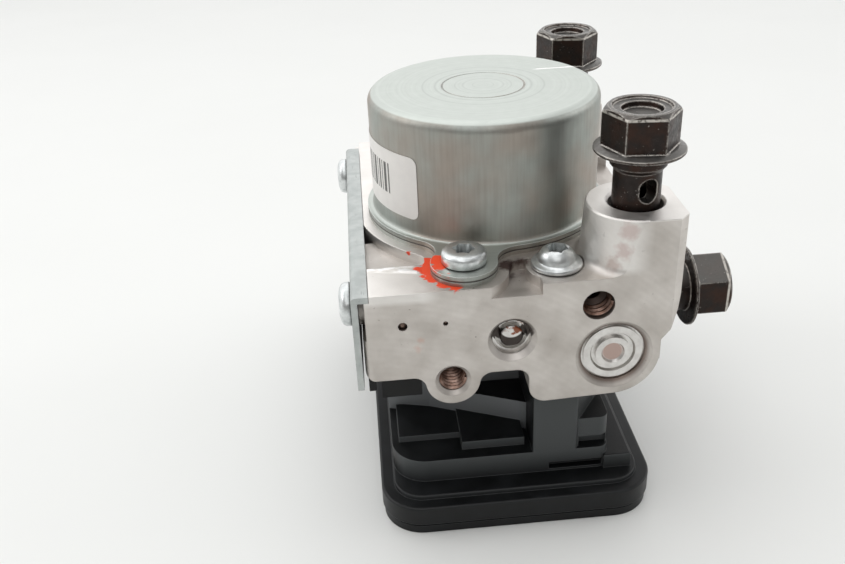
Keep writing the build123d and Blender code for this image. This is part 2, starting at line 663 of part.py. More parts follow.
def valve_block():
    """The machined block with its lobes, turrets, ports and bores."""
    front, rear = BLOCK_FRONT_Y, BLOCK_REAR_Y
    body = block((BLOCK_LEFT_X, BLOCK_RIGHT_X), (front + RIGHT_CUT_DEPTH, rear - RIGHT_CUT_DEPTH),
                 (BLOCK_BOTTOM_Z, MOTOR_FACE_Z))
    lobes = along_y(front_outline(), front, RIGHT_CUT_DEPTH)
    lobes += along_y(Pos(M6_HOLE_X, M6_HOLE_Z) * Circle(M6_LOBE_RADIUS), front, LOBE_DEPTH)
    store = along_y(accumulator_lobe_outline(), front, LOBE_DEPTH)
    rear_end = block((BLOCK_LEFT_X, BLOCK_RIGHT_X), (rear - RIGHT_CUT_DEPTH, rear),
                     (BLOCK_BOTTOM_Z, MOTOR_FACE_Z))
    edge_cut = along_y(right_edge_cut(), front, RIGHT_CUT_DEPTH)
    rear_end = rear_end + mirrored_y(store) - mirrored_y(edge_cut)
    body = body + lobes + store + rear_end
    body -= motor_face_cuts()
    body -= bracket_seat()
    body += turret(FRONT_TURRET_Y, -1)
    body += turret(REAR_TURRET_Y, 1)
    for y, inward in ((front, 1), (rear, -1)):
        body -= left_edge_rounding(y, inward)
        body -= right_edge_chamfer(y, inward)
    for y in BRACKET_SCREW_YS:
        inner = BRACKET_OUTER_X + BRACKET_SHEET
        body += rod(BRACKET_PAD_RADIUS, (BLOCK_LEFT_X + 1, y, BRACKET_SCREW_Z),
                    (inner, y, BRACKET_SCREW_Z))
    for y in (FRONT_SIDE_PORT_Y, REAR_SIDE_PORT_Y):
        boss_start = (BLOCK_RIGHT_X - SIDE_BOSS_DEPTH, y, SIDE_PORT_Z)
        body += rod(SIDE_BOSS_RADIUS, boss_start, (BLOCK_RIGHT_X, y, SIDE_PORT_Z))
    bores = front_bores()
    body = body - bores - mirrored_y(bores) - front_small_holes() - upright_bores()
    for y in (FRONT_TURRET_Y, REAR_TURRET_Y):
        body -= port((TURRET_X, y, TURRET_TOP_Z), (0, 0, 1), PORT_DEPTH)
    for y in (FRONT_SIDE_PORT_Y, REAR_SIDE_PORT_Y):
        face = BLOCK_RIGHT_X - SPOT_FACE_DEPTH
        body -= rod(SPOT_FACE_RADIUS, (face, y, SIDE_PORT_Z), (BLOCK_RIGHT_X + 3, y, SIDE_PORT_Z))
        body -= port((face, y, SIDE_PORT_Z), (1, 0, 0), SIDE_PORT_DEPTH)
    for y in BRACKET_SCREW_YS:
        reach = BRACKET_OUTER_X + BRACKET_SCREW_LENGTH + 1
        body -= rod(M4_RADIUS + SCREW_FIT, (BRACKET_OUTER_X - 1, y, BRACKET_SCREW_Z),
                    (reach, y, BRACKET_SCREW_Z))
    return body


# Motor

def flange_plan(margin=0.0):
    """The outline of the can's flange with its two ears, seen from above."""
    radius = CAN_FLANGE_RADIUS + margin
    plan = Circle(radius)
    ears = [Pos(x, y) * Circle(EAR_RADIUS + margin) for x, y in EARS]
    plan += ears
    corners = plan.vertices().filter_by(lambda v: is_ear_corner(v, radius, margin))
    return fillet(corners, EAR_BLEND - margin)


def is_ear_corner(vertex, radius, margin):
    """True where the round flange meets an ear."""
    on_flange = abs(sqrt(vertex.X ** 2 + vertex.Y ** 2) - radius) < 0.01
    reach = [sqrt((vertex.X - x) ** 2 + (vertex.Y - y) ** 2) for x, y in EARS]
    on_ear = min(abs(distance - EAR_RADIUS - margin) for distance in reach) < 0.01
    return on_flange and on_ear


def motor_can():
    """The drawn steel can, in one piece with its flange."""
    bottom, top = MOTOR_FACE_Z, CAN_TOP_Z
    shell = upright(CAN_RADIUS, 0, 0, bottom, top)
    rim = shell.edges().filter_by(GeomType.CIRCLE).sort_by(Axis.Z)[-1]
    shell = fillet(rim, CAN_EDGE_RADIUS)
    foot = bottom + CAN_FLANGE_THICKNESS
    shell += raised(flange_plan(), bottom, foot)
    foot_ring = shell.edges().filter_by(GeomType.CIRCLE).filter_by(
        lambda e: abs(e.radius - CAN_RADIUS) < 0.01 and abs(e.center().Z - foot) < 0.01
    )
    shell = fillet(foot_ring, CAN_FOOT_ROUNDING)
    shell -= upright(CAN_BORE_RADIUS, 0, 0, bottom - 1, top - CAN_WALL)
    stamp = block((CAN_RADIUS - STAMP_DEPTH, CAN_RADIUS + 1), (-STAMP_WIDTH / 2, STAMP_WIDTH / 2),
                  (bottom + STAMP_RISE - STAMP_HEIGHT / 2, bottom + STAMP_RISE + STAMP_HEIGHT / 2))
    shell -= Rot(0, 0, STAMP_ANGLE) * stamp
    groove = (
        (DISC_RADIUS - DISC_GROOVE, top + 0.01),
        (DISC_RADIUS + DISC_GROOVE, top + 0.01),
        (DISC_RADIUS, top - DISC_GROOVE),
    )
    shell -= turned(groove)
    sleeve = upright(BUSH_RADIUS + CAN_WALL, 0, 0, BUSH_BOTTOM_Z, BUSH_TOP_Z + 0.5)
    shell = shell + sleeve - upright(BUSH_RADIUS, 0, 0, BUSH_BOTTOM_Z - 1, BUSH_TOP_Z)
    for x, y in EARS:
        shell -= upright(M4_RADIUS + SCREW_HOLE_CLEARANCE, x, y, bottom - 1, bottom + CUT_OVERRUN)
    return shell


def motor_magnets():
    """Two curved magnets against the can's wall."""
    middle = (WINDING_BOTTOM_Z + CORE_TOP_Z + WINDING_OVERHANG) / 2
    ring = upright(CAN_BORE_RADIUS, 0, 0, middle - MAGNET_LENGTH / 2, middle + MAGNET_LENGTH / 2)
    ring -= upright(MAGNET_BORE_RADIUS, 0, 0, middle - MAGNET_LENGTH, middle + MAGNET_LENGTH)
    gap = 180 - MAGNET_ANGLE
    half_width = CAN_RADIUS * sin(radians(gap / 2))
    cut = block((-CAN_RADIUS, CAN_RADIUS), (-half_width, half_width), (MOTOR_FACE_Z, CAN_TOP_Z))
    return ring - cut


def slot_sketches(inner, outer, width):
    """The winding slots of the core, seen from above."""
    slot = plan_rectangle((inner, outer), (-width / 2, width / 2))
    return [Rot(0, 0, 360 * i / SLOT_COUNT) * slot for i in range(SLOT_COUNT)]


def armature_core():
    """The laminated core with its winding slots."""
    plan = Circle(CORE_RADIUS) - Circle(SHAFT_RADIUS)
    plan -= slot_sketches(CORE_HUB_RADIUS, CORE_RADIUS - CORE_LIP, SLOT_WIDTH)
    plan -= slot_sketches(CORE_RADIUS - CORE_LIP - 0.4, CORE_RADIUS + 1, SLOT_MOUTH)
    return raised(plan, CORE_BOTTOM_Z, CORE_TOP_Z)


def armature_windings():
    """The copper: bars in the slots, joined by the end turns."""
    clear = WINDING_CLEARANCE
    bars = slot_sketches(CORE_HUB_RADIUS + clear, CORE_RADIUS - CORE_LIP - clear, SLOT_WIDTH - 2 * clear)
    copper = raised(Sketch() + bars, WINDING_BOTTOM_Z + 0.4, CORE_TOP_Z + WINDING_OVERHANG - 0.4)
    ring = Circle(CORE_RADIUS - CORE_LIP - 0.2) - Circle(CORE_HUB_RADIUS)
    lower = raised(ring, WINDING_BOTTOM_Z, CORE_BOTTOM_Z)
    upper = raised(ring, CORE_TOP_Z, CORE_TOP_Z + WINDING_OVERHANG)
    return copper + lower + upper


def commutator():
    """The segmented drum that the brushes run on."""
    bottom = HOLDER_TOP_Z - 0.6
    drum = Circle(COMMUTATOR_RADIUS) - Circle(SHAFT_RADIUS)
    for i in range(SLOT_COUNT):
        cut = plan_rectangle((COMMUTATOR_RADIUS - 0.9, COMMUTATOR_RADIUS + 1), (-0.2, 0.2))
        drum -= Rot(0, 0, 360 * (i + 0.5) / SLOT_COUNT) * cut
    return raised(drum, bottom, bottom + COMMUTATOR_LENGTH)


def motor_shaft():
    """The shaft with its eccentric journal at the lower end."""
    top = BUSH_TOP_Z - 0.4
    journal_bottom = PUMP_Z - JOURNAL_LENGTH / 2
    shaft = upright(SHAFT_RADIUS, 0, 0, journal_bottom, top)
    tip = shaft.edges().filter_by(GeomType.CIRCLE).sort_by(Axis.Z)[-1]
    shaft = chamfer(tip, 0.5)
    return shaft + upright(JOURNAL_RADIUS, ECCENTRICITY, 0, journal_bottom, PUMP_Z + JOURNAL_LENGTH / 2)


def eccentric_ring():
    """The hardened ring that rolls against the pump pistons."""
    half = JOURNAL_LENGTH / 2 - 0.3
    ring = upright(RING_RADIUS, ECCENTRICITY, 0, PUMP_Z - half, PUMP_Z + half)
    return ring - upright(JOURNAL_RADIUS, ECCENTRICITY, 0, PUMP_Z - half - 1, PUMP_Z + half + 1)


def upper_bush():
    """The sintered bush in the can's top."""
    bush = upright(BUSH_RADIUS, 0, 0, BUSH_BOTTOM_Z, BUSH_TOP_Z)
    return bush - upright(SHAFT_RADIUS + BUSH_CLEARANCE, 0, 0, BUSH_BOTTOM_Z - 1, BUSH_TOP_Z + 1)


def bearing_groove():
    """The track of the balls, cut into both rings."""
    pitch = (BEARING_INNER_RING_RADIUS + BEARING_OUTER_RING_BORE) / 2
    middle = MOTOR_FACE_Z - BEARING_WIDTH / 2
    return Pos(0, 0, middle) * Torus(pitch, BALL_RADIUS + RACE_GAP)


def bearing_outer_ring():
    """The bearing's outer ring in the block's seat."""
    low, high = MOTOR_FACE_Z - BEARING_WIDTH, MOTOR_FACE_Z
    ring = upright(BEARING_RADIUS, 0, 0, low, high)
    return ring - upright(BEARING_OUTER_RING_BORE, 0, 0, low - 1, high + 1) - bearing_groove()


def bearing_inner_ring():
    """The bearing's inner ring on the shaft."""
    low, high = MOTOR_FACE_Z - BEARING_WIDTH, MOTOR_FACE_Z
    ring = upright(BEARING_INNER_RING_RADIUS, 0, 0, low, high)
    return ring - upright(SHAFT_RADIUS, 0, 0, low - 1, high + 1) - bearing_groove()


def bearing_balls():
    """The balls between the two rings."""
    pitch = (BEARING_INNER_RING_RADIUS + BEARING_OUTER_RING_BORE) / 2
    middle = MOTOR_FACE_Z - BEARING_WIDTH / 2
    turns = [2 * pi * i / BALL_COUNT for i in range(BALL_COUNT)]
    return [Pos(pitch * cos(a), pitch * sin(a), middle) * Sphere(BALL_RADIUS) for a in turns]


def brush_places():
    """Where each brush starts, measured out from the commutator."""
    start = COMMUTATOR_RADIUS + 0.1
    return start, start + BRUSH_LENGTH


def brush_holder():
    """The plastic plate under the motor with a guide for each brush."""
    face = MOTOR_FACE_Z
    plate = upright(CAN_BORE_RADIUS - 0.2, 0, 0, face, HOLDER_TOP_Z)
    start, end = brush_places()
    half = BRUSH_WIDTH / 2 + BRUSH_WALL
    for side in (-1, 1):
        x_range = sorted((side * (start + 1.2), side * (end + BRUSH_WALL)))
        plate += block(x_range, (-half, half), (face + 0.5, BRUSH_TOP_Z + BRUSH_WALL))
    plate -= upright(CORE_HUB_RADIUS, 0, 0, face - 1, HOLDER_TOP_Z + CUT_OVERRUN)
    for side in (-1, 1):
        x_range = sorted((side * (start - 1), side * end))
        inside = (-BRUSH_WIDTH / 2, BRUSH_WIDTH / 2)
        plate -= block(x_range, inside, (HOLDER_TOP_Z, BRUSH_TOP_Z))
    return plate


def brushes():
    """Two carbon brushes, hollowed to the commutator."""
    start, end = brush_places()
    carbons = []
    for side in (-1, 1):
        x_range = sorted((side * (start - 0.6), side * end))
        carbon = block(x_range, (-BRUSH_WIDTH / 2, BRUSH_WIDTH / 2), (HOLDER_TOP_Z, BRUSH_TOP_Z))
        drum = upright(COMMUTATOR_RADIUS + 0.1, 0, 0, MOTOR_FACE_Z, BRUSH_TOP_Z + 5)
        carbons.append(carbon - drum)
    return carbons


# Screws and bolts

def screw(origin, direction, head_radius, head_height, length, washer=(0, 0)):
    """A domed screw with a round drive recess, seated at a point, head outwards."""
    washer_radius, washer_height = washer
    crown = head_height + washer_height
    outline = [
        (0, -length),
        (M4_RADIUS - 0.5, -length),
        (M4_RADIUS, -length + 0.5),
        (M4_RADIUS, 0),
    ]
    if washer_height:
        outline += [(washer_radius - 0.3, 0), (washer_radius, 0.3), (washer_radius, washer_height)]
    outline += [
        (head_radius, washer_height),
        (head_radius, washer_height + head_height * 0.45),
        (head_radius - 0.5, washer_height + head_height * 0.78),
        (LOBE_SOCKET_RADIUS + 0.5, crown),
        (LOBE_SOCKET_RADIUS, crown),
        (LOBE_SOCKET_RADIUS, crown - LOBE_SOCKET_DEPTH),
        (0, crown - LOBE_SOCKET_DEPTH),
    ]
    return turned(outline, origin, direction)


def motor_screws():
    """The pan-head screws through the ears of the can."""
    seat = MOTOR_FACE_Z + CAN_FLANGE_THICKNESS
    length = CAN_FLANGE_THICKNESS + MOTOR_SCREW_LENGTH
    return [
        screw((x, y, seat), (0, 0, 1), MOTOR_SCREW_HEAD_RADIUS, MOTOR_SCREW_HEAD_HEIGHT, length)
        for x, y in EARS
    ]


def ecu_screws():
    """Long screws through the block that draw the control unit up."""
    bottoms = (COLUMN_TOP_Z - ECU_SCREW_GRIP, FLANGE_BOTTOM_Z - ECU_SCREW_GRIP)
    washer = (ECU_SCREW_WASHER_RADIUS, ECU_SCREW_WASHER)
    return [
        screw((x, y, MOTOR_FACE_Z), (0, 0, 1), ECU_SCREW_HEAD_RADIUS, ECU_SCREW_HEAD_HEIGHT,
              MOTOR_FACE_Z - bottom, washer)
        for (x, y), bottom in zip(ECU_SCREWS, bottoms)
    ]


def bracket_screws():
    """The pan-head screws on the bracket's outer face."""
    return [
        screw((BRACKET_OUTER_X, y, BRACKET_SCREW_Z), (-1, 0, 0), BRACKET_SCREW_HEAD_RADIUS,
              BRACKET_SCREW_HEAD_HEIGHT, BRACKET_SCREW_LENGTH)
        for y in BRACKET_SCREW_YS
    ]


def banjo_bolt(seat, direction, turn):
    """A hollow bolt: hex head, thin flange, collar, waisted neck with a cross hole, and thread."""
    thread = PORT_RADIUS - BOLT_THREAD_CLEARANCE
    outline = (
        (0, -BOLT_SHANK),
        (thread - 0.8, -BOLT_SHANK),
        (thread, -BOLT_SHANK + 0.8),
        (thread, -BOLT_NECK_END - 0.6),
        (BOLT_NECK_RADIUS, -BOLT_NECK_END),
        (BOLT_NECK_RADIUS, -BOLT_COLLAR_LENGTH - BOLT_COLLAR_SLOPE),
        (BOLT_COLLAR_RADIUS, -BOLT_COLLAR_LENGTH),
        (BOLT_COLLAR_RADIUS, 0),
        (BOLT_FLANGE_RADIUS - 0.2, 0),
        (BOLT_FLANGE_RADIUS, 0.2),
        (BOLT_FLANGE_RADIUS, BOLT_FLANGE_EDGE),
        (BOLT_FLANGE_RADIUS - BOLT_FLANGE_SLOPE, BOLT_FLANGE_THICKNESS),
        (0, BOLT_FLANGE_THICKNESS),
    )
    bolt = turned(outline) + bolt_head()
    bolt -= upright(BOLT_BORE_RADIUS, 0, 0, -BOLT_SHANK - 1, -BOLT_CROSS_DROP + 1)
    for offset in (-BOLT_CROSS_STRETCH, BOLT_CROSS_STRETCH):
        z = -BOLT_CROSS_DROP + offset
        bolt -= rod(BOLT_CROSS_RADIUS, (0, -PORT_RADIUS - 1, z), (0, PORT_RADIUS + 1, z))
    return Plane(origin=seat, z_dir=direction) * Rot(0, 0, turn) * bolt


def bolt_head():
    """The hexagon of a hollow bolt, with rounded corners, a lip and a round recess on top."""
    top = BOLT_FLANGE_THICKNESS + BOLT_HEX_HEIGHT
    corner = BOLT_HEX_ACROSS_FLATS / sqrt(3)
    hexagon = raised(RegularPolygon(corner, 6), BOLT_FLANGE_THICKNESS * 0.6, top)
    hexagon = Rot(0, 0, BOLT_HEX_TURN) * hexagon
    shoulder = BOLT_HEX_ACROSS_FLATS / 2 - 0.1
    rounding = (
        (0, 0),
        (corner + 0.1, 0),
        (corner + 0.1, top - BOLT_HEX_ROUNDING),
        (corner - 0.3, top - BOLT_HEX_ROUNDING * 0.5),
        (shoulder, top),
        (0, top),
    )
    lip = shoulder - BOLT_HEX_LIP
    floor = top - BOLT_HEX_LIP_DEPTH
    dish = (
        (0, top + 0.1),
        (lip, top + 0.1),
        (lip - 0.2, floor),
        (BOLT_RECESS_RADIUS, floor),
        (BOLT_RECESS_RADIUS - 0.3, floor - BOLT_RECESS_DEPTH * 0.7),
        (0, floor - BOLT_RECESS_DEPTH),
    )
    return (hexagon & turned(rounding)) - turned(dish)


# Pump, accumulators and valves

def front_pump_piston():
    """The front pump piston, with its tip just outside the eccentric's sweep."""
    radius = PISTON_RADIUS - PISTON_CLEARANCE
    outline = (
        (0, PISTON_TIP),
        (radius - 0.6, PISTON_TIP),
        (radius, PISTON_TIP + 0.6),
        (radius, PISTON_TIP + PISTON_LENGTH),
        (0, PISTON_TIP + PISTON_LENGTH),
    )
    return turned(outline, (0, 0, PUMP_Z), (0, -1, 0))


def pump_plug_outline():
    """Half outline of the staked plug, with height out of the block."""
    inner = -PUMP_PLUG_RECESS - PUMP_PLUG_LENGTH
    outer = -PUMP_PLUG_RECESS
    return (
        (0, inner),
        (PUMP_PLUG_RADIUS, inner),
        (PUMP_PLUG_RADIUS, outer - PUMP_RING_DROP),
        (PUMP_RING_RADIUS, outer - PUMP_RING_DROP),
        (PUMP_RING_RADIUS, outer - PUMP_GROOVE_DEPTH),
        (PUMP_BUTTON_RADIUS, outer - PUMP_GROOVE_DEPTH),
        (PUMP_BUTTON_RADIUS, outer + PUMP_BUTTON_RISE - 0.2),
        (PUMP_BUTTON_RADIUS - 0.2, outer + PUMP_BUTTON_RISE),
        (0, outer + PUMP_BUTTON_RISE),
    )


def front_pump_plug():
    """The staked plug that closes the front pump bore."""
    return turned(pump_plug_outline(), (0, BLOCK_FRONT_Y, PUMP_Z), (0, -1, 0))


def front_pump_spring():
    """The spring between the front piston and its plug."""
    start = -BLOCK_FRONT_Y - PUMP_PLUG_RECESS - PUMP_PLUG_LENGTH
    length = start - PISTON_TIP - PISTON_LENGTH
    origin = (0, -start, PUMP_Z)
    return coil_spring(PUMP_SPRING_RADIUS, SPRING_WIRE, PUMP_SPRING_TURNS, origin, (0, 1, 0), length)


def front_accumulator_piston():
    """The front accumulator piston, at the inner end of its bore."""
    radius = ACCUMULATOR_BORE_RADIUS - ACCUMULATOR_PISTON_CLEARANCE
    inner = -ACCUMULATOR_DEPTH + 0.2
    outer = inner + ACCUMULATOR_PISTON_LENGTH
    outline = (
        (0, inner),
        (radius - 0.8, inner),
        (radius, inner + 0.5),
        (radius, outer),
        (ACCUMULATOR_SPRING_RADIUS - 0.8, outer),
        (ACCUMULATOR_SPRING_RADIUS - 1.1, outer - 1.2),
        (0, outer - 1.2),
    )
    return turned(outline, (ACCUMULATOR_X, BLOCK_FRONT_Y, ACCUMULATOR_Z), (0, -1, 0))


def front_accumulator_spring():
    """The spring behind the front accumulator piston."""
    start = BLOCK_FRONT_Y + CAP_RECESS + CAP_THICKNESS
    end = BLOCK_FRONT_Y + ACCUMULATOR_DEPTH - 0.2 - ACCUMULATOR_PISTON_LENGTH
    origin = (ACCUMULATOR_X, start, ACCUMULATOR_Z)
    return coil_spring(ACCUMULATOR_SPRING_RADIUS, SPRING_WIRE, ACCUMULATOR_SPRING_TURNS, origin,
                       (0, 1, 0), end - start)


def front_accumulator_cap():
    """The round cap of the front accumulator, with two turned rings and a centre dimple."""
    outer = -CAP_RECESS
    outline = (
        (0, outer - CAP_THICKNESS),
        (CAP_RADIUS, outer - CAP_THICKNESS),
        (CAP_RADIUS, outer - CAP_STEP),
        (CAP_RADIUS - CAP_STEP, outer - CAP_STEP),
        (CAP_RADIUS - CAP_STEP, outer),
        (CAP_OUTER_RING, outer),
        (CAP_OUTER_RING - 0.3, outer - CAP_GROOVE),
        (CAP_INNER_RING, outer - CAP_GROOVE),
        (CAP_INNER_RING, outer + CAP_GROOVE / 2),
        (CAP_DIMPLE_RADIUS + 0.3, outer + CAP_GROOVE / 2),
        (CAP_DIMPLE_RADIUS, outer - CAP_GROOVE / 2),
        (0, outer - CAP_GROOVE / 2),
    )
    return turned(outline, (ACCUMULATOR_X, BLOCK_FRONT_Y, ACCUMULATOR_Z), (0, -1, 0))


def valve_cartridge(x, y):
    """A pressed-in valve body with the closed stem that its coil slides over."""
    top = VALVE_SEAT_DEPTH
    bottom = -STEM_LENGTH
    outer = (
        (0, bottom),
        (STEM_RADIUS - 0.6, bottom),
        (STEM_RADIUS, bottom + 0.6),
        (STEM_RADIUS, 0),
        (VALVE_RADIUS, 0),
        (VALVE_RADIUS, top - 0.6),
        (VALVE_RADIUS - 0.6, top),
        (0, top),
    )
    place = (x, y, BLOCK_BOTTOM_Z)
    body = turned(outer, place)
    bore = ARMATURE_RADIUS + ARMATURE_CLEARANCE
    low = BLOCK_BOTTOM_Z + bottom + 1.0
    high = low + ARMATURE_LENGTH + 2 * ARMATURE_STROKE
    body -= upright(bore, x, y, low, high)
    seat = BLOCK_BOTTOM_Z + top - SEAT_DEPTH
    body -= upright(NEEDLE_BORE_RADIUS, x, y, high - 1, seat)
    return body - upright(SEAT_BORE_RADIUS, x, y, seat - 1, BLOCK_BOTTOM_Z + top + 1)


def valve_armature(x, y, lift):
    """The moving iron of a valve, with its needle."""
    low = BLOCK_BOTTOM_Z - STEM_LENGTH + 1.0 + ARMATURE_STROKE / 2 + lift
    slug = upright(ARMATURE_RADIUS, x, y, low, low + ARMATURE_LENGTH)
    return slug + upright(NEEDLE_RADIUS, x, y, low, low + ARMATURE_LENGTH + NEEDLE_LENGTH)


def valve_coils():
    """The four coils, each on a flanged former."""
    top = HOUSING_TOP_Z - 2.2
    bottom = top - COIL_HEIGHT
    coils = []
    for x, y in VALVES:
        outline = (
            (STEM_RADIUS + 0.1, bottom),
            (COIL_RADIUS, bottom),
            (COIL_RADIUS, bottom + 1),
            (COIL_RADIUS - 0.7, bottom + 1),
            (COIL_RADIUS - 0.7, top - 1),
            (COIL_RADIUS, top - 1),
            (COIL_RADIUS, top),
            (STEM_RADIUS + 0.1, top),
        )
        coils.append(turned(outline, (x, y, 0)))
    return coils


# Control unit

def rim_plan(inset):
    """The rounded outline of the control unit's rim, seen from above."""
    x_range = (RIM_LEFT_X + inset, RIM_RIGHT_X - inset)
    y_range = (RIM_FRONT_Y + inset, RIM_REAR_Y - inset)
    plan = plan_rectangle(x_range, y_range)
    return fillet(plan.vertices(), max(RIM_CORNER_RADIUS - inset, 1.0))


def body_plan():
    """The outline of the low part of the housing."""
    plan = plan_rectangle((BODY_LEFT_X, BODY_RIGHT_X), (BODY_FRONT_Y, BODY_REAR_Y))
    left = plan.vertices().filter_by(lambda v: v.X < 0)
    plan = fillet(left, BODY_CORNER_RADIUS)
    right_front = plan.vertices().filter_by(lambda v: v.X > BODY_RIGHT_X - 0.01 and v.Y < 0)
    return fillet(right_front, BODY_RIGHT_CORNER_RADIUS)


def tower_plan(wall_end_y):
    """The outline of the coil tower: a wall that runs to the screw column, and the column."""
    column_left = ECU_SCREW_X - COLUMN_WIDTH / 2
    column_right = ECU_SCREW_X + COLUMN_WIDTH / 2
    rear = REAR_VALVE_Y + COIL_RADIUS + TOWER_REAR_WALL
    points = (
        (BODY_LEFT_X, TOWER_LEFT_Y),
        (TOWER_BEND_X, TOWER_BEND_Y),
        (column_left, wall_end_y),
        (column_left, BODY_FRONT_Y),
        (column_right, BODY_FRONT_Y),
        (BODY_RIGHT_X, TOWER_RIGHT_Y),
        (BODY_RIGHT_X, rear),
        (BODY_LEFT_X, rear),
    )
    plan = make_face(Polyline(*points, close=True))
    column_corners = plan.vertices().filter_by(lambda v: abs(v.Y - BODY_FRONT_Y) < 0.01)
    return fillet(column_corners, COLUMN_EDGE_ROUNDING)


def valve_field(margin):
    """A rectangle round the four valves, seen from above."""
    reach = VALVE_X + margin
    return plan_rectangle((-reach, reach), (FRONT_VALVE_Y - margin, REAR_VALVE_Y + margin))


def tower_window():
    """The opening inside the tower that holds the coils."""
    margin = COIL_RADIUS + WINDOW_MARGIN
    return valve_field(margin)


def flange_plate():
    """The top flange of the housing, with a finger and a tab in the left notch of the block."""
    behind = BLOCK_FRONT_Y + LOBE_DEPTH + FLANGE_SIDE_GAP
    left = BLOCK_LEFT_X + FLANGE_SIDE_GAP
    rear_lobe = BLOCK_REAR_Y - LOBE_DEPTH - FLANGE_SIDE_GAP
    corner_left = CORNER_BOSS_X - CORNER_BOSS_RADIUS - LOBE_FILLET - FLANGE_SIDE_GAP
    reach = M6_LOBE_RADIUS + LOBE_FILLET + FLANGE_SIDE_GAP
    thread_left = M6_HOLE_X - reach
    boss = SIDE_BOSS_RADIUS + FLANGE_SIDE_GAP
    plan = plan_rectangle((left, FLANGE_INNER_RIGHT_X), (behind, rear_lobe))
    plan += plan_rectangle((left, FLANGE_RIGHT_X), (FRONT_SIDE_PORT_Y + boss, REAR_SIDE_PORT_Y - boss))
    plan += plan_rectangle((left, corner_left), (rear_lobe - 1, BLOCK_REAR_Y - 1))
    plate = raised(plan - tower_window(), FLANGE_BOTTOM_Z, HOUSING_TOP_Z)
    finger_left = BLOCK_LEFT_X + FINGER_INSET
    finger_y = (BLOCK_FRONT_Y + FINGER_SETBACK, behind + 1)
    waist = HOUSING_TOP_Z - FINGER_NARROW_DROP
    plate += block((finger_left, thread_left), finger_y, (waist, HOUSING_TOP_Z))
    lobe_left = M6_HOLE_X - M6_LOBE_RADIUS - FINGER_SIDE_GAP
    plate += block((finger_left, lobe_left), finger_y, (HOUSING_TOP_Z - FINGER_DROP, waist))
    tab_y = (BLOCK_FRONT_Y + TAB_SETBACK, behind + 1)
    return plate + block((left, left + TAB_WIDTH), tab_y, (HOUSING_TOP_Z - TAB_DROP, HOUSING_TOP_Z))


def socket_shell():
    """The connector shroud at the back, open to the rear."""
    half = SOCKET_WIDTH / 2
    x_range = (SOCKET_CENTRE_X - half, SOCKET_CENTRE_X + half)
    z_range = (SOCKET_BOTTOM_Z, SOCKET_BOTTOM_Z + SOCKET_HEIGHT)
    shell = block(x_range, (BODY_REAR_Y - 2, BODY_REAR_Y + SOCKET_LENGTH), z_range)
    return fillet(shell.edges().filter_by(Axis.Y), 1.5)


def socket_hollow():
    """The inside of the connector shroud."""
    half = SOCKET_WIDTH / 2 - SOCKET_WALL
    x_range = (SOCKET_CENTRE_X - half, SOCKET_CENTRE_X + half)
    z_range = (SOCKET_BOTTOM_Z + SOCKET_WALL, SOCKET_BOTTOM_Z + SOCKET_HEIGHT - SOCKET_WALL)
    return block(x_range, (BODY_REAR_Y + 0.5, BODY_REAR_Y + SOCKET_LENGTH + 1), z_range)


def ecu_housing():
    """The moulded housing: rim, low body, coil tower, screw columns, flange and socket."""
    shell = rounded_top(raised(rim_plan(0), RIM_BOTTOM_Z, RIM_TOP_Z), RIM_EDGE_ROUNDING)
    tier = raised(rim_plan(RIM_LIP), RIM_BOTTOM_Z, RIM_TOP_Z + TIER_HEIGHT)
    shell += rounded_top(tier, TIER_EDGE_ROUNDING)
    shell += raised(body_plan(), RIM_BOTTOM_Z + 1, BODY_FLOOR_Z)
    shell += side_shelf()
    behind = BLOCK_FRONT_Y + LOBE_DEPTH + FLANGE_SIDE_GAP
    tower = tower_plan(TOWER_BEND_Y)
    front_part = tower & plan_rectangle((-PLAN_REACH, PLAN_REACH), (-PLAN_REACH, behind))
    rear_part = tower & plan_rectangle((-PLAN_REACH, PLAN_REACH), (behind, PLAN_REACH))
    shell += raised(tower_plan(COLUMN_REAR_Y), BODY_FLOOR_Z - 1, PLATFORM_TOP_Z)
    shell += raised(front_part, BODY_FLOOR_Z - 1, COLUMN_TOP_Z)
    shell += raised(rear_part, BODY_FLOOR_Z - 1, FLANGE_BOTTOM_Z + 1)
    shell += flange_plate()
    shell += rear_column()
    shell += recess_steps()
    shell += side_box()
    shell += socket_shell()
    shell -= housing_hollows()
    shell -= front_slots()
    shell -= socket_hollow()
    shell -= screw_bores()
    shell -= pin_bars()
    return shell


def rounded_top(plate, radius):
    """A plate with its upper edge rounded."""
    top = plate.faces().sort_by(Axis.Z)[-1]
    return fillet(top.edges(), radius)


def side_shelf():
    """The raised shelf on the rim, to the right of the body."""
    x_range = (BODY_RIGHT_X - 1, RIM_RIGHT_X - SHELF_RIGHT_MARGIN)
    front = BLOCK_FRONT_Y + SHELF_FRONT_SETBACK
    shelf = block(x_range, (front, SHELF_REAR_Y), (RIM_TOP_Z, SHELF_TOP_Z))
    return rounded_top(shelf, SHELF_EDGE_ROUNDING)


def rear_column():
    """The column that takes the rear long screw."""
    x, y = REAR_ECU_SCREW_X, REAR_ECU_SCREW_Y
    half = COLUMN_WIDTH / 2
    return block((x - half, x + half), (y - half, y + half), (BODY_FLOOR_Z - 1, FLANGE_BOTTOM_Z + 1))


def recess_steps():
    """Two raised steps on the floor of the recess in front of the tower wall."""
    column_left = ECU_SCREW_X - COLUMN_WIDTH / 2
    low_top = BODY_FLOOR_Z + LOW_STEP_HEIGHT
    high_top = BODY_FLOOR_Z + HIGH_STEP_HEIGHT
    low = block((BODY_LEFT_X + 1.5, STEP_X), (LOW_STEP_Y, TOWER_LEFT_Y - 0.8), (BODY_FLOOR_Z - 1, low_top))
    high = block((STEP_X, column_left - 1.2), (HIGH_STEP_Y, TOWER_BEND_Y - 1.5), (BODY_FLOOR_Z - 1, high_top))
    return low + high


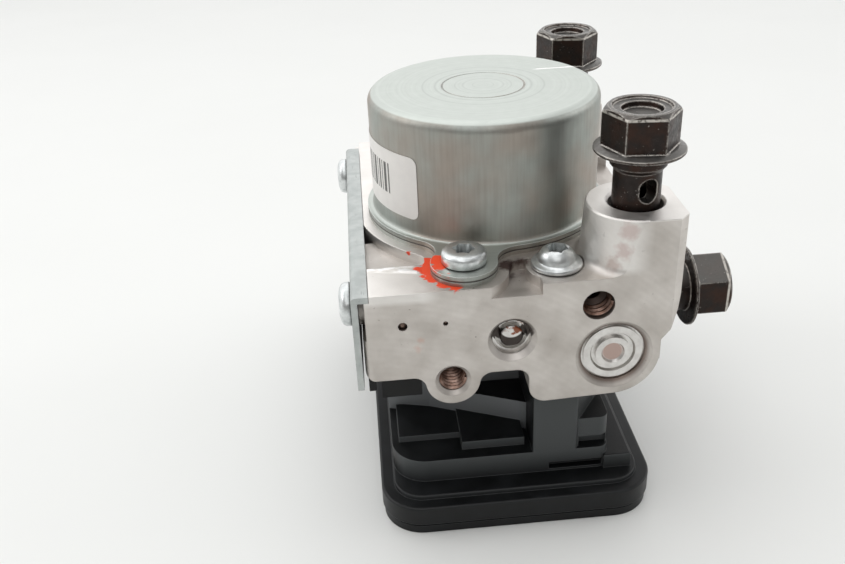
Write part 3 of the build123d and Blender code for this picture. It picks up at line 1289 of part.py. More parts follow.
def side_box():
    """The stepped box on the right of the column."""
    column_right = ECU_SCREW_X + COLUMN_WIDTH / 2
    front = BODY_FRONT_Y + SIDE_BOX_SETBACK
    plan = plan_rectangle((column_right - 1, BODY_RIGHT_X), (front, SIDE_BOX_REAR_Y))
    corner = plan.vertices().filter_by(lambda v: v.X > BODY_RIGHT_X - 0.01 and v.Y < front + 0.01)
    plan = fillet(corner, BODY_RIGHT_CORNER_RADIUS)
    return raised(plan, BODY_FLOOR_Z - 1, SIDE_BOX_TOP_Z)


def front_slots():
    """The two dark slots in the stepped boxes on the right."""
    column_right = ECU_SCREW_X + COLUMN_WIDTH / 2
    low = block((ECU_SCREW_X - 1.0, BODY_RIGHT_X - LOW_SLOT_RIGHT_MARGIN),
                (BODY_FRONT_Y - 1, BODY_FRONT_Y + SLOT_DEPTH),
                (LOW_SLOT_BOTTOM_Z, LOW_SLOT_BOTTOM_Z + LOW_SLOT_HEIGHT))
    front = BODY_FRONT_Y + SIDE_BOX_SETBACK
    high = block((column_right + SLOT_LEFT_MARGIN, BODY_RIGHT_X - HIGH_SLOT_RIGHT_MARGIN),
                 (front - 3, front + SLOT_DEPTH), (BODY_FLOOR_Z, BODY_FLOOR_Z + HIGH_SLOT_HEIGHT))
    return low + high


def housing_hollows():
    """The room for the circuit board and the shaft for the coils."""
    hollow = raised(rim_plan(RIM_WALL), RIM_BOTTOM_Z - 1, BOARD_TOP_Z)
    wall = HOUSING_WALL
    low = plan_rectangle((BODY_LEFT_X + wall, BODY_RIGHT_X - wall),
                         (BODY_FRONT_Y + SLOT_DEPTH + wall, BODY_REAR_Y - wall))
    low = fillet(low.vertices(), BODY_CORNER_RADIUS - wall)
    hollow += raised(low, RIM_BOTTOM_Z, BODY_FLOOR_Z - wall)
    return hollow + raised(tower_window(), BODY_FLOOR_Z - wall - 1, HOUSING_TOP_Z + 1)


def screw_bores():
    """The holes in the columns for the long screws."""
    radius = M4_RADIUS + SCREW_FIT
    bores = Part()
    bottoms = (COLUMN_TOP_Z - ECU_SCREW_GRIP, FLANGE_BOTTOM_Z - ECU_SCREW_GRIP)
    for (x, y), bottom in zip(ECU_SCREWS, bottoms):
        bores += upright(radius, x, y, bottom - 1, HOUSING_TOP_Z + 1)
    return bores


def pin_bars():
    """Square connector pins, in rows across the socket."""
    middle_z = SOCKET_BOTTOM_Z + SOCKET_HEIGHT / 2
    half = PIN_SIDE / 2
    pins = []
    for row in range(PIN_ROWS):
        z = middle_z + (row - (PIN_ROWS - 1) / 2) * PIN_PITCH
        for i in range(PINS_PER_ROW):
            x = SOCKET_CENTRE_X + (i - (PINS_PER_ROW - 1) / 2) * PIN_PITCH
            y_range = (BODY_REAR_Y - HOUSING_WALL - 1, BODY_REAR_Y + PIN_LENGTH)
            pins.append(block((x - half, x + half), y_range, (z - half, z + half)))
    return pins


def ecu_cover():
    """The plate that closes the control unit from below, with a locating step."""
    plate = raised(rim_plan(COVER_INSET), 0, COVER_TOP_Z)
    inset = RIM_WALL + COVER_STEP_CLEARANCE
    step = raised(rim_plan(inset), COVER_TOP_Z - 0.5, RIM_BOTTOM_Z + COVER_STEP)
    seam = raised(rim_plan(SEAM_DEPTH), COVER_TOP_Z - 0.5, RIM_BOTTOM_Z)
    return plate + step + seam


def ecu_seal():
    """The gasket between the control unit and the block."""
    ring = valve_field(COIL_RADIUS + WINDOW_MARGIN + SEAL_WIDTH) - tower_window()
    return raised(ring, HOUSING_TOP_Z, BLOCK_BOTTOM_Z)


def circuit_board():
    """The circuit board under the housing's ceiling."""
    plan = rim_plan(RIM_WALL + BOARD_GAP)
    return raised(plan, BOARD_TOP_Z - BOARD_THICKNESS, BOARD_TOP_Z)


# Bracket and balls

def mount_bracket():
    """The zinc-plated sheet on the left, with its folded top lip."""
    outer = BRACKET_OUTER_X
    inner = outer + BRACKET_SHEET
    front = BLOCK_FRONT_Y
    plate = block((outer, inner), (front, BRACKET_REAR_Y), (BRACKET_BOTTOM_Z, BRACKET_TOP_Z))
    foot = plate.edges().filter_by(Axis.X).sort_by(Axis.Z)[:2]
    plate = fillet(foot, BRACKET_CORNER_RADIUS)
    plate += block((outer, BRACKET_LIP_X), (front, BRACKET_REAR_Y),
                   (BRACKET_TOP_Z - BRACKET_SHEET, BRACKET_TOP_Z))
    bend = plate.edges().filter_by(Axis.Y).group_by(Axis.X)[0].sort_by(Axis.Z)[-1]
    plate = fillet(bend, BRACKET_BEND_RADIUS)
    for y in BRACKET_SCREW_YS:
        plate -= rod(M4_RADIUS + SCREW_HOLE_CLEARANCE, (outer - 1, y, BRACKET_SCREW_Z),
                     (inner + 1, y, BRACKET_SCREW_Z))
    return plate


def ball_plugs():
    """The balls pressed into the two small holes of the front face."""
    z = MOTOR_FACE_Z - BALL_PLUG_DROP
    y = BLOCK_FRONT_Y + BALL_PLUG_DEPTH
    return [Pos(x, y + radius, z) * Sphere(radius - 0.02) for x, radius in BALL_PLUGS]


def save(name, shape):
    """Write one node, which may be a group of separate solids."""
    solids = shape if isinstance(shape, list) else [shape]
    children = [solid for item in solids for solid in item.solids()]
    result = children[0] if len(children) == 1 else Compound(children=children)
    export_step(result, f"parts/{name}.step")


def main():
    os.makedirs("parts", exist_ok=True)
    save("valve_block", valve_block())
    save("motor_can", motor_can())
    save("motor_magnets", motor_magnets())
    save("armature_core", armature_core())
    save("armature_windings", armature_windings())
    save("commutator", commutator())
    save("motor_shaft", motor_shaft())
    save("eccentric_ring", eccentric_ring())
    save("upper_bush", upper_bush())
    save("bearing_outer_ring", bearing_outer_ring())
    save("bearing_inner_ring", bearing_inner_ring())
    save("bearing_balls", bearing_balls())
    save("brush_holder", brush_holder())
    save("brushes", brushes())
    save("motor_screws", motor_screws())
    save("ecu_screws", ecu_screws())
    save("bracket_screws", bracket_screws())
    front_bolt_z = TURRET_TOP_Z + FRONT_BOLT_GAP
    rear_bolt_z = TURRET_TOP_Z + REAR_BOLT_GAP
    side_bolt_x = BLOCK_RIGHT_X + SIDE_BOLT_GAP
    front_seat = (TURRET_X, FRONT_TURRET_Y, front_bolt_z)
    rear_seat = (TURRET_X, REAR_TURRET_Y, rear_bolt_z)
    side_seat = (side_bolt_x, FRONT_SIDE_PORT_Y, SIDE_PORT_Z)
    save("banjo_bolt_front", banjo_bolt(front_seat, (0, 0, 1), FRONT_BOLT_TURN))
    save("banjo_bolt_rear", banjo_bolt(rear_seat, (0, 0, 1), REAR_BOLT_TURN))
    save("banjo_bolt_side", banjo_bolt(side_seat, (1, 0, 0), SIDE_BOLT_TURN))
    twins = {
        "pump_piston": front_pump_piston(),
        "pump_spring": front_pump_spring(),
        "pump_plug": front_pump_plug(),
        "accumulator_piston": front_accumulator_piston(),
        "accumulator_spring": front_accumulator_spring(),
        "accumulator_cap": front_accumulator_cap(),
    }
    for name, shape in twins.items():
        save(f"front_{name}", shape)
        save(f"rear_{name}", mirrored_y(shape))
    save("valve_cartridges", [valve_cartridge(x, y) for x, y in VALVES])
    for x, y in VALVES:
        kind = "inlet" if x > 0 else "outlet"
        lift = 0 if x > 0 else ARMATURE_STROKE
        place = "front" if y == FRONT_VALVE_Y else "rear"
        save(f"{place}_{kind}_armature", valve_armature(x, y, lift))
    save("valve_coils", valve_coils())
    save("ecu_housing", ecu_housing())
    save("ecu_cover", ecu_cover())
    save("ecu_seal", ecu_seal())
    save("circuit_board", circuit_board())
    save("connector_pins", pin_bars())
    save("mount_bracket", mount_bracket())
    save("ball_plugs", ball_plugs())


main()
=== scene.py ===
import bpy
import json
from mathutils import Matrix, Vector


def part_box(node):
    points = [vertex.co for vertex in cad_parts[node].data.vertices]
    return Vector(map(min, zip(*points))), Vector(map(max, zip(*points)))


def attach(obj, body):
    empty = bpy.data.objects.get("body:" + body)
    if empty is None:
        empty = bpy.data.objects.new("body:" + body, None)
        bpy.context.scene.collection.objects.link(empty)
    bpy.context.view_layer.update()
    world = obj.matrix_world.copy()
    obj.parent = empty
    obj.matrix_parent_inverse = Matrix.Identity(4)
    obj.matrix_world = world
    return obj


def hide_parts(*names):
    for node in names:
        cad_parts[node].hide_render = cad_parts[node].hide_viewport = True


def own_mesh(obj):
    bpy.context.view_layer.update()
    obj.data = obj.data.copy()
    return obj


bl_info = {
    "name": "Brake modulator looks",
    "version": (1, 0, 0),
    "blender": (4, 5, 0),
    "location": "View3D > Sidebar > Modulator",
    "description": "Finishes, small fasteners, threads and stage for a brake pressure modulator",
    "category": "Object",
}

import json
import math

import bpy
from mathutils import Matrix, Vector

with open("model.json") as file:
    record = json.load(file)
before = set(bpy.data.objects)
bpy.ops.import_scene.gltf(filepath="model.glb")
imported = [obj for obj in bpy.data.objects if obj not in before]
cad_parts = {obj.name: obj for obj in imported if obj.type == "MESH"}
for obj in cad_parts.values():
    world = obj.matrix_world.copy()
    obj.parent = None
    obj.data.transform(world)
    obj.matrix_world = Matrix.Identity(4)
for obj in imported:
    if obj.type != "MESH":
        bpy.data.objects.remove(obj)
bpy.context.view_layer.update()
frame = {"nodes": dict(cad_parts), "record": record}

BODY = "modulator"
MM = 0.001
BOLTS = ("banjo_bolt_front", "banjo_bolt_rear", "banjo_bolt_side")

# Where the front face's holes and drillings are, as X and Z in millimetres
FIXING_HOLE = (-11.1, 34.55)
STEPPED_HOLE = (15.7, 48.45)
PUMP_HOLE = (0.0, 44.6)
ACCUMULATOR_HOLE = (19.1, 37.4)
WIDE_BALL = (-19.9, 47.2)
NARROW_BALL = (-12.15, 47.2)

# Screw heads from the seat up, as rings of a radius and a height in millimetres
EAR_HEAD = (
    (3.95, 0.0), (4.15, 0.25), (4.15, 1.6), (4.08, 1.95), (3.86, 2.25), (3.5, 2.46), (3.0, 2.6),
    (2.4, 2.68), (2.1, 2.7),
)
LONG_HEAD = (
    (4.5, 0.0), (4.75, 0.22), (4.75, 0.62), (4.6, 0.86), (4.3, 0.98), (3.75, 1.06), (3.52, 1.25),
    (3.44, 1.8), (3.26, 2.35), (2.96, 2.85), (2.5, 3.28), (2.1, 3.5), (1.9, 3.6),
)
BRACKET_HEAD = (
    (3.9, 0.0), (4.1, 0.2), (4.1, 0.85), (3.98, 1.3), (3.7, 1.7), (3.2, 2.02), (2.5, 2.24), (2.2, 2.3),
)
SHANK_RADIUS = 2.0
POINT_RADIUS = 1.6
POINT_HEIGHT = 0.4

# The label's back stands just off the can's wall
LABEL_RADIUS = 23.04
LABEL_THICKNESS = 0.09

# The camera, solved from the photo's edges: lens and sensor in millimetres, place in metres
CAMERA_LENS = 39.227
CAMERA_SENSOR = 36
CAMERA_PLACE = (-0.02408, -0.17600, 0.13469)
CAMERA_AXES = (
    (0.99567, 0.07792, -0.05056),
    (-0.08215, 0.48472, -0.87080),
    (-0.04334, 0.87119, 0.48903),
)


def linear(code):
    """An sRGB hex colour as linear red, green and blue."""
    parts = [int(code[i : i + 2], 16) / 255 for i in (1, 3, 5)]
    return tuple(p / 12.92 if p <= 0.04045 else ((p + 0.055) / 1.055) ** 2.4 for p in parts)


def colour(name, description, code):
    """A colour that a user can change."""
    return bpy.props.FloatVectorProperty(
        name=name, description=description, subtype="COLOR", size=3, min=0, max=1, default=linear(code)
    )


def length(name, description, millimetres):
    """A length that a user can change."""
    return bpy.props.FloatProperty(
        name=name, description=description, unit="LENGTH", subtype="DISTANCE", min=0, precision=5,
        default=millimetres * MM,
    )


def angle(name, description, degrees):
    """An angle that a user can change."""
    return bpy.props.FloatProperty(
        name=name, description=description, unit="ROTATION", subtype="ANGLE", default=math.radians(degrees)
    )


class ModulatorColours(bpy.types.PropertyGroup):
    aluminium: colour("Aluminium", "Milled face of the valve block", "#d8d3ce")
    aluminium_shade: colour("Aluminium shade", "Duller patches of the milled face", "#bcb6b0")
    can_front: colour("Drawn steel", "Warm grey of the motor can", "#a59c93")
    can_cool: colour("Drawn steel, cool", "Greenish grey of the motor can", "#a4a8a3")
    zinc: colour("Zinc plate", "Bracket", "#b8bcba")
    black_oxide: colour("Black oxide", "Hollow bolts", "#2f2a28")
    bare_steel: colour("Bare steel", "Worn edges of the hollow bolts", "#c9c4bd")
    nylon: colour("Black nylon", "Control unit", "#0c0d0e")
    paint: colour("Paint mark", "Inspection paint beside the ear", "#ee4a22")
    label: colour("Label", "Bare label on the can", "#e6e3df")
    label_ink: colour("Label bars", "Bars on the label", "#5b5a58")
    floor: colour("Floor", "Pale floor", "#e8e9e7")


class ModulatorSizes(bpy.types.PropertyGroup):
    label_length: length("Label length", "Round the can", 34.0)
    label_height: length("Label height", "Up the can", 12.6)
    label_corner: length("Label corner", "Corner radius of the label", 1.6)
    label_bottom: length("Label bottom", "Height of the label's lower edge above the motor face", 5.2)
    label_edge: angle("Label edge", "Where the label's right edge lies, seen from above", -40.6)
    drive_radius: length("Drive recess", "Outer radius of the six-lobe recess", 2.1)
    drive_depth: length("Drive depth", "Depth of the six-lobe recess", 1.9)
    fixing_pitch: length("Fixing thread pitch", "Pitch of the M6 thread", 1.0)
    port_pitch: length("Port thread pitch", "Pitch of the M10 fine thread", 1.0)
    spring_wire: length("Spring wire", "Wire diameter of the coil springs", 0.6)


# Nodes and finishes


def node(tree, kind, inputs=(), **settings):
    """Adds one shader node with its settings; each input is a value or a linked socket."""
    made = tree.nodes.new("ShaderNode" + kind)
    for name, value in settings.items():
        setattr(made, name, value)
    for name, value in dict(inputs).items():
        if isinstance(value, bpy.types.NodeSocket):
            tree.links.new(value, made.inputs[name])
        else:
            made.inputs[name].default_value = value
    return made


def finish(name, base, metallic, roughness):
    """A new material with its tree, its shader and its object coordinates in millimetres."""
    material = bpy.data.materials.new(name)
    material.use_nodes = True
    tree = material.node_tree
    shader = tree.nodes["Principled BSDF"]
    shader.inputs["Base Color"].default_value = (*base, 1)
    shader.inputs["Metallic"].default_value = metallic
    shader.inputs["Roughness"].default_value = roughness
    place = node(tree, "TexCoord").outputs["Object"]
    place = node(tree, "VectorMath", {0: place, "Scale": 1 / MM}, operation="SCALE").outputs[0]
    return material, tree, shader, place


def noise(tree, place, grain, detail=3.0, stretch=(1, 1, 1)):
    """Noise whose patches are about one grain across, in millimetres."""
    if stretch != (1, 1, 1):
        place = stretched(tree, place, stretch)
    made = node(tree, "TexNoise", {"Vector": place, "Scale": 1 / grain, "Detail": detail})
    return made.outputs["Fac"]


def between(tree, value, low, high, out_low=0.0, out_high=1.0):
    """A value carried from one range to another, and held at its ends."""
    ends = {"Value": value, "From Min": low, "From Max": high, "To Min": out_low, "To Max": out_high}
    return node(tree, "MapRange", ends).outputs[0]


def mottle(tree, place, grain, detail, low, high, out_low=0.0, out_high=1.0):
    """Noise carried from one range to another."""
    return between(tree, noise(tree, place, grain, detail), low, high, out_low, out_high)


def mix(tree, share, first, second):
    """Two colours, mixed by a share from 0 to 1."""
    sides = {0: share}
    for slot, side in ((6, first), (7, second)):
        sides[slot] = side if isinstance(side, bpy.types.NodeSocket) else (*side, 1)
    return node(tree, "Mix", sides, data_type="RGBA").outputs[2]


def combine(tree, operation, *values):
    """Numbers put together by one sum."""
    return node(tree, "Math", dict(enumerate(values)), operation=operation).outputs[0]


def product(tree, first, *others):
    """Shares multiplied together."""
    for other in others:
        first = combine(tree, "MULTIPLY", first, other)
    return first


def either(tree, first, second):
    """The larger of two shares."""
    return combine(tree, "MAXIMUM", first, second)


def inverse(tree, share):
    """What a share leaves of 1."""
    return combine(tree, "SUBTRACT", 1.0, share)


def apart(tree, value, level):
    """How far a value is from a level, on either side."""
    return combine(tree, "ABSOLUTE", combine(tree, "SUBTRACT", value, level))


def split(tree, vector):
    """The X, Y and Z of a vector."""
    return node(tree, "SeparateXYZ", {0: vector}).outputs


def facing(tree):
    """The X, Y and Z of the way that a face looks."""
    return split(tree, node(tree, "NewGeometry").outputs["Normal"])


def stretched(tree, place, factors):
    """A place with each axis multiplied by its factor."""
    return node(tree, "VectorMath", {0: place, 1: factors}, operation="MULTIPLY").outputs[0]


def distance(tree, place, centre):
    """How far a place is from a point, both in millimetres."""
    return node(tree, "VectorMath", {0: place, 1: centre}, operation="DISTANCE").outputs["Value"]


def feed(tree, shader, base, roughness=None, metallic=None):
    """Links a finish's colour, roughness and metal share to its shader."""
    for name, socket in (("Base Color", base), ("Roughness", roughness), ("Metallic", metallic)):
        if socket is not None:
            tree.links.new(socket, shader.inputs[name])


def relief(tree, shader, *layers, base=None):
    """Bump layers laid over each other; each has a height socket and a depth in millimetres."""
    normal = base
    for height, depth in layers:
        inputs = {"Height": height, "Distance": depth * MM, "Strength": 1.0}
        if normal is not None:
            inputs["Normal"] = normal
        normal = node(tree, "Bump", inputs).outputs[0]
    tree.links.new(normal, shader.inputs["Normal"])


def spot(tree, place, centre, radius, ragged=0.0, soft=0.25):
    """A patch round a point in millimetres, 1 inside and 0 outside, with a ragged edge."""
    reach = distance(tree, place, centre)
    if ragged:
        wobble = mottle(tree, place, 1.1, 4.0, 0.3, 0.7, -ragged, ragged)
        reach = combine(tree, "ADD", reach, wobble)
    return between(tree, reach, radius, radius - soft)


def edge_wear_and_highlight(tree, radius, low, high):
    """A mask that is 1 on outer edges, and the normals, rounded over a radius, that it comes from."""
    rounded = node(tree, "Bevel", {"Radius": radius * MM}, samples=6).outputs[0]
    true = node(tree, "NewGeometry").outputs["Normal"]
    flat = node(tree, "VectorMath", {0: rounded, 1: true}, operation="DOT_PRODUCT").outputs["Value"]
    return between(tree, flat, low, high, 1.0, 0.0), rounded


def face_on(tree, axis):
    """A mask of the faces that look along an axis."""
    return between(tree, combine(tree, "ABSOLUTE", facing(tree)[axis]), 0.7, 0.8)


def coat_nodes(material, *names):
    """Gives CAD nodes a material in all their slots."""
    for name in names:
        for slot in frame["nodes"][name].material_slots:
            slot.material = material


def paint_share(tree, place):
    """Where the brushed-on inspection paint lies, in strokes to the left of the front ear."""
    blobs = (
        ((-14.5, -24.6, 53.8), 1.8),
        ((-13.9, -27.5, 53.8), 2.5),
        ((-13.0, -30.5, 53.8), 2.4),
        ((-11.6, -33.2, 53.8), 1.9),
        ((-10.2, -34.8, 53.8), 1.3),
        ((-16.0, -27.0, 53.8), 1.1),
        ((-15.4, -29.9, 53.8), 0.8),
        ((-12.5, -27.6, 55.7), 2.0),
        ((-12.3, -30.2, 55.7), 1.3),
        ((-17.9, -20.3, 53.8), 0.95),
    )
    brushed = stretched(tree, place, (0.7, 1.3, 1.0))
    ragged = mottle(tree, brushed, 0.9, 4.0, 0.3, 0.7, -0.45, 0.45)
    share = None
    for centre, radius in blobs:
        reach = distance(tree, place, centre)
        made = between(tree, combine(tree, "ADD", reach, ragged), radius, radius - 0.3)
        share = made if share is None else either(tree, share, made)
    # None of it ran down the front face.
    return product(tree, share, between(tree, split(tree, place)[2], 52.6, 53.0))


def hole_share(tree, place, middle, radius, mouth):
    """Inside a hole in the front face: round its axis, and further in than its mouth."""
    reach = distance(tree, stretched(tree, place, (1, 0, 1)), (middle[0], 0, middle[1]))
    inside = between(tree, reach, radius + 0.15, radius - 0.05)
    # The rear face has the same holes, and the mask leaves them out.
    depth = split(tree, place)[1]
    front = between(tree, depth, -14.0, -15.0)
    return product(tree, inside, front, between(tree, depth, mouth, mouth + 0.5))


def milled_aluminium(colours):
    """Wrought aluminium, face milled: wide cutter arcs, satin, with duller patches."""
    material, tree, shader, place = finish("Milled_wrought_aluminium", colours.aluminium, 1.0, 0.42)
    patches = mottle(tree, place, 9.0, 4.0, 0.35, 0.68)
    base = mix(tree, patches, colours.aluminium, colours.aluminium_shade)
    # The cutter's steps are 0.5 mm apart and are drawn 1.1 mm apart, so that they show.
    centred = node(tree, "VectorMath", {0: place, 1: (34, 4, 22)}, operation="ADD").outputs[0]
    arcs = node(
        tree, "TexWave", {"Vector": centred, "Scale": 0.27, "Distortion": 1.2, "Detail": 2.0,
        "Detail Scale": 0.6}, wave_type="RINGS", rings_direction="SPHERICAL",
    ).outputs["Fac"]
    base = mix(tree, between(tree, arcs, 0.0, 1.0, 0.0, 0.12), base, colours.aluminium_shade)
    specks = mottle(tree, place, 0.9, 2.0, 0.72, 0.78, 0.0, 0.55)
    base = mix(tree, specks, base, linear("#7a716a"))
    # Painted highlight: the turret's left flank and top, and the step at the upper left, are painted a
    # lighter aluminium.
    parts = split(tree, place)
    flank = either(tree, between(tree, parts[0], 25.0, 21.5), between(tree, parts[2], 64.2, 64.5))
    turret = product(tree, between(tree, parts[2], 53.9, 55.5), between(tree, parts[0], 8.0, 10.0), flank)
    step = product(tree, between(tree, parts[2], 51.5, 52.5), between(tree, parts[0], -13.0, -16.0))
    base = mix(tree, product(tree, either(tree, turret, step), 0.6), base, linear("#f6f4f1"))
    # Old paint on the turret and brake fluid on the face; the floor of the scallop beside the ear is
    # painted dark brown in two spots.
    tinted_spots = (
        ((20.4, -35.8, 62.6), 2.2, "#c4a9a4", 0.5),
        ((19.6, -35.7, 58.8), 2.0, "#c4a9a4", 0.5),
        ((17.9, -35.2, 56.0), 1.9, "#a5857a", 0.45),
        ((-16.9, -36.1, 44.2), 1.0, "#c8937f", 0.5),
        ((-17.4, -36.1, 42.4), 0.9, "#cfa496", 0.45),
        ((0.4, -28.2, 53.4), 2.5, "#57403d", 0.9),
        ((3.2, -27.2, 53.4), 1.9, "#5f4743", 0.85),
    )
    for centre, radius, code, most in tinted_spots:
        share = spot(tree, place, centre, radius, ragged=0.5, soft=1.2)
        base = mix(tree, product(tree, share, most), base, linear(code))
    # The cutter left bright, torn chips along the ledge at the upper left.
    torn = noise(tree, place, 1.5, 3.0, stretch=(0.6, 1, 1))
    ledge_y = combine(tree, "ADD", parts[1], product(tree, parts[0], 0.22))
    off = combine(tree, "ABSOLUTE", combine(tree, "ADD", ledge_y, 30.3))
    ledge = product(tree, between(tree, off, 2.2, 1.0), between(tree, parts[2], 51.5, 52.5),
                    between(tree, parts[0], -15.5, -16.5))
    base = mix(tree, product(tree, ledge, between(tree, torn, 0.42, 0.55)), base, linear("#ffffff"))
    # Painted shade: the walls inside the front face's holes and ball dimples are painted in dark browns.
    holes = (
        (FIXING_HOLE, 2.6, -35.7, "#54392d", 0.85),
        (STEPPED_HOLE, 2.96, -35.9, "#4b342b", 0.85),
        (WIDE_BALL, 0.85, -36.1, "#6e5a50", 0.8),
        (NARROW_BALL, 0.45, -36.1, "#4a3d36", 0.9),
        (PUMP_HOLE, 4.2, -35.9, "#2c201b", 0.85),
        (ACCUMULATOR_HOLE, 7.1, -35.8, "#6b564b", 0.75),
    )
    for middle, radius, mouth, code, most in holes:
        share = product(tree, hole_share(tree, place, middle, radius, mouth), most)
        base = mix(tree, share, base, linear(code))
    paint = paint_share(tree, place)
    base = mix(tree, paint, base, colours.paint)
    feed(tree, shader, base, mottle(tree, place, 3.0, 3.0, 0.3, 0.7, 0.42, 0.56), inverse(tree, paint))
    rounded = node(tree, "Bevel", {"Radius": 0.25 * MM}, samples=4).outputs[0]
    chips = product(tree, ledge, torn)
    relief(tree, shader, (arcs, 0.010), (noise(tree, place, 0.35), 0.012), (chips, 0.35), base=rounded)
    return material


def drawn_steel(colours):
    """Deep-drawn steel can: upright drawing streaks on the wall, faint rings on the top."""
    material, tree, shader, place = finish("Deep_drawn_steel", colours.can_front, 1.0, 0.38)
    tone = mottle(tree, place, 14.0, 2.0, 0.38, 0.62)
    base = mix(tree, tone, colours.can_front, colours.can_cool)
    streaks = noise(tree, place, 0.55, 3.0, stretch=(1, 1, 0.05))
    parts = split(tree, place)
    squares = [combine(tree, "POWER", parts[axis], 2.0) for axis in (0, 1)]
    reach = combine(tree, "SQRT", combine(tree, "ADD", *squares))
    rings = node(tree, "TexNoise", {"W": reach, "Scale": 1.6, "Detail": 3.0}, noise_dimensions="1D")
    top = face_on(tree, 2)
    grain = node(tree, "Mix", {0: top, 2: streaks, 3: rings.outputs[0]}).outputs[0]
    base = mix(tree, between(tree, grain, 0.4, 0.75, 0.0, 0.2), base, linear("#7a726b"))
    # Painted highlight: the top is painted a lighter, cooler grey than the wall, as it is lit from above.
    lit_top_tone = mix(tree, between(tree, grain, 0.3, 0.7, 0.0, 0.3), linear("#c3c8c3"), linear("#b0b5b0"))
    # Turning marks on the top, at the radii where the photo shows them.
    for radius, width in ((2.1, 0.16), (4.0, 0.2), (5.6, 0.2), (9.5, 0.35), (12.0, 0.3)):
        mark = between(tree, apart(tree, reach, radius), 0.0, width, 0.35, 0.0)
        lit_top_tone = mix(tree, mark, lit_top_tone, linear("#9da29e"))
    base = mix(tree, top, base, lit_top_tone)
    # Painted highlight: the can's rounded edges are painted a lighter grey.
    bright, rounded = edge_wear_and_highlight(tree, 0.22, 0.93, 0.99)
    base = mix(tree, product(tree, bright, 0.6), base, linear("#dfe2df"))
    # The flange is folded double: its seam runs round its side.
    seam = product(tree, between(tree, apart(tree, parts[2], 54.75), 0.2, 0.1), inverse(tree, top))
    base = mix(tree, product(tree, seam, 0.9), base, linear("#4e4b48"))
    # A stroke of a white paint pen near the top's rear right edge.
    half = mottle(tree, place, 1.4, 3.0, 0.3, 0.7, 0.18, 0.5)
    wide = combine(tree, "LESS_THAN", apart(tree, parts[1], 8.05), half)
    ends = product(tree, between(tree, parts[0], 11.2, 12.4), between(tree, parts[0], 22.0, 21.4))
    stroke = product(tree, ends, wide, top)
    base = mix(tree, stroke, base, linear("#f4f4f2"))
    # The brush missed the flange's edge.
    brushed = between(tree, parts[2], 55.2, 55.5)
    paint = product(tree, paint_share(tree, place), inverse(tree, bright), brushed)
    base = mix(tree, paint, base, colours.paint)
    rough = mottle(tree, place, 2.2, 3.0, 0.3, 0.7, 0.42, 0.52)
    feed(tree, shader, base, rough, inverse(tree, either(tree, paint, stroke)))
    relief(tree, shader, (grain, 0.008), (noise(tree, place, 0.3), 0.006), (seam, -0.12), base=rounded)
    return material


def zinc_plate(colours):
    """Zinc-plated steel sheet: cool grey with a fine cloudy grain and light handling marks."""
    material, tree, shader, place = finish("Zinc_plated_steel_sheet", colours.zinc, 1.0, 0.4)
    cloud = mottle(tree, place, 2.4, 5.0, 0.35, 0.65, 0.0, 0.5)
    base = mix(tree, cloud, colours.zinc, linear("#a2a7a6"))
    marks = noise(tree, place, 0.5, 2.0, stretch=(1, 0.12, 1))
    base = mix(tree, between(tree, marks, 0.68, 0.74, 0.0, 0.6), base, linear("#8a8d8c"))
    feed(tree, shader, base, between(tree, cloud, 0.0, 0.5, 0.32, 0.46))
    rounded = node(tree, "Bevel", {"Radius": 0.15 * MM}, samples=4).outputs[0]
    relief(tree, shader, (noise(tree, place, 0.25), 0.006), base=rounded)
    return material


def bright_zinc(colours):
    """Bright zinc on formed screws: mirror-like with soft turning marks."""
    material, tree, shader, place = finish("Bright_zinc_on_formed_steel", linear("#d6d9da"), 1.0, 0.3)
    cloud = mottle(tree, place, 1.2, 4.0, 0.35, 0.65)
    base = mix(tree, cloud, linear("#dfe2e2"), linear("#c6caca"))
    # Painted shade: where ambient occlusion finds the zinc enclosed, in the recess and under the head, it
    # is painted dark.
    open_sky = node(tree, "AmbientOcclusion", {"Distance": 1.6 * MM}, samples=8).outputs["AO"]
    base = mix(tree, between(tree, open_sky, 0.25, 0.75, 0.9, 0.0), base, linear("#2f2e2e"))
    feed(tree, shader, base, between(tree, cloud, 0.0, 1.0, 0.28, 0.42))
    relief(tree, shader, (noise(tree, place, 0.4), 0.012))
    return material


def crown_share(tree, place, name, axis):
    """The worn rim round the top of a hollow bolt's hexagon; its axis is 0 for X and 2 for Z."""
    low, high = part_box(name)
    middle = (low + high) / 2 / MM
    flat = [1.0, 1.0, 1.0]
    flat[axis] = 0.0
    middle[axis] = 0.0
    reach = distance(tree, stretched(tree, place, flat), middle)
    height = split(tree, place)[axis]
    top = high[axis] / MM
    return product(
        tree, between(tree, reach, 5.3, 5.6), between(tree, reach, 7.2, 7.0),
        between(tree, height, top - 1.15, top - 1.0), between(tree, height, top - 0.55, top - 0.7),
    )


def black_oxide(colours):
    """Forged steel with black oxide: dark satin, rubbed to bare metal on edges and in scratches."""
    material, tree, shader, place = finish("Black_oxide_forged_steel", colours.black_oxide, 0.85, 0.36)
    worn, rounded = edge_wear_and_highlight(tree, 0.5, 0.86, 0.99)
    for name, axis in zip(BOLTS, (2, 2, 0)):
        worn = either(tree, worn, crown_share(tree, place, name, axis))
    worn = product(tree, worn, mottle(tree, place, 0.7, 5.0, 0.3, 0.5))
    worn = either(tree, worn, mottle(tree, place, 0.6, 3.0, 0.7, 0.8, 0.0, 0.55))
    scratches = noise(tree, place, 0.5, 3.0, stretch=(0.25, 1.6, 1.1))
    worn = either(tree, worn, between(tree, scratches, 0.7, 0.76, 0.0, 0.7))
    tint = mottle(tree, place, 2.6, 4.0, 0.4, 0.66)
    base = mix(tree, tint, colours.black_oxide, linear("#3a2b25"))
    # Painted highlight: the faces that look up are painted a lighter grey.
    base = mix(tree, between(tree, facing(tree)[2], 0.3, 0.9, 0.0, 0.6), base, linear("#7b7a77"))
    base = mix(tree, worn, base, colours.bare_steel)
    feed(tree, shader, base, mottle(tree, place, 0.8, 4.0, 0.3, 0.7, 0.26, 0.5))
    relief(tree, shader, (noise(tree, place, 0.6, 4.0), 0.03), base=rounded)
    return material


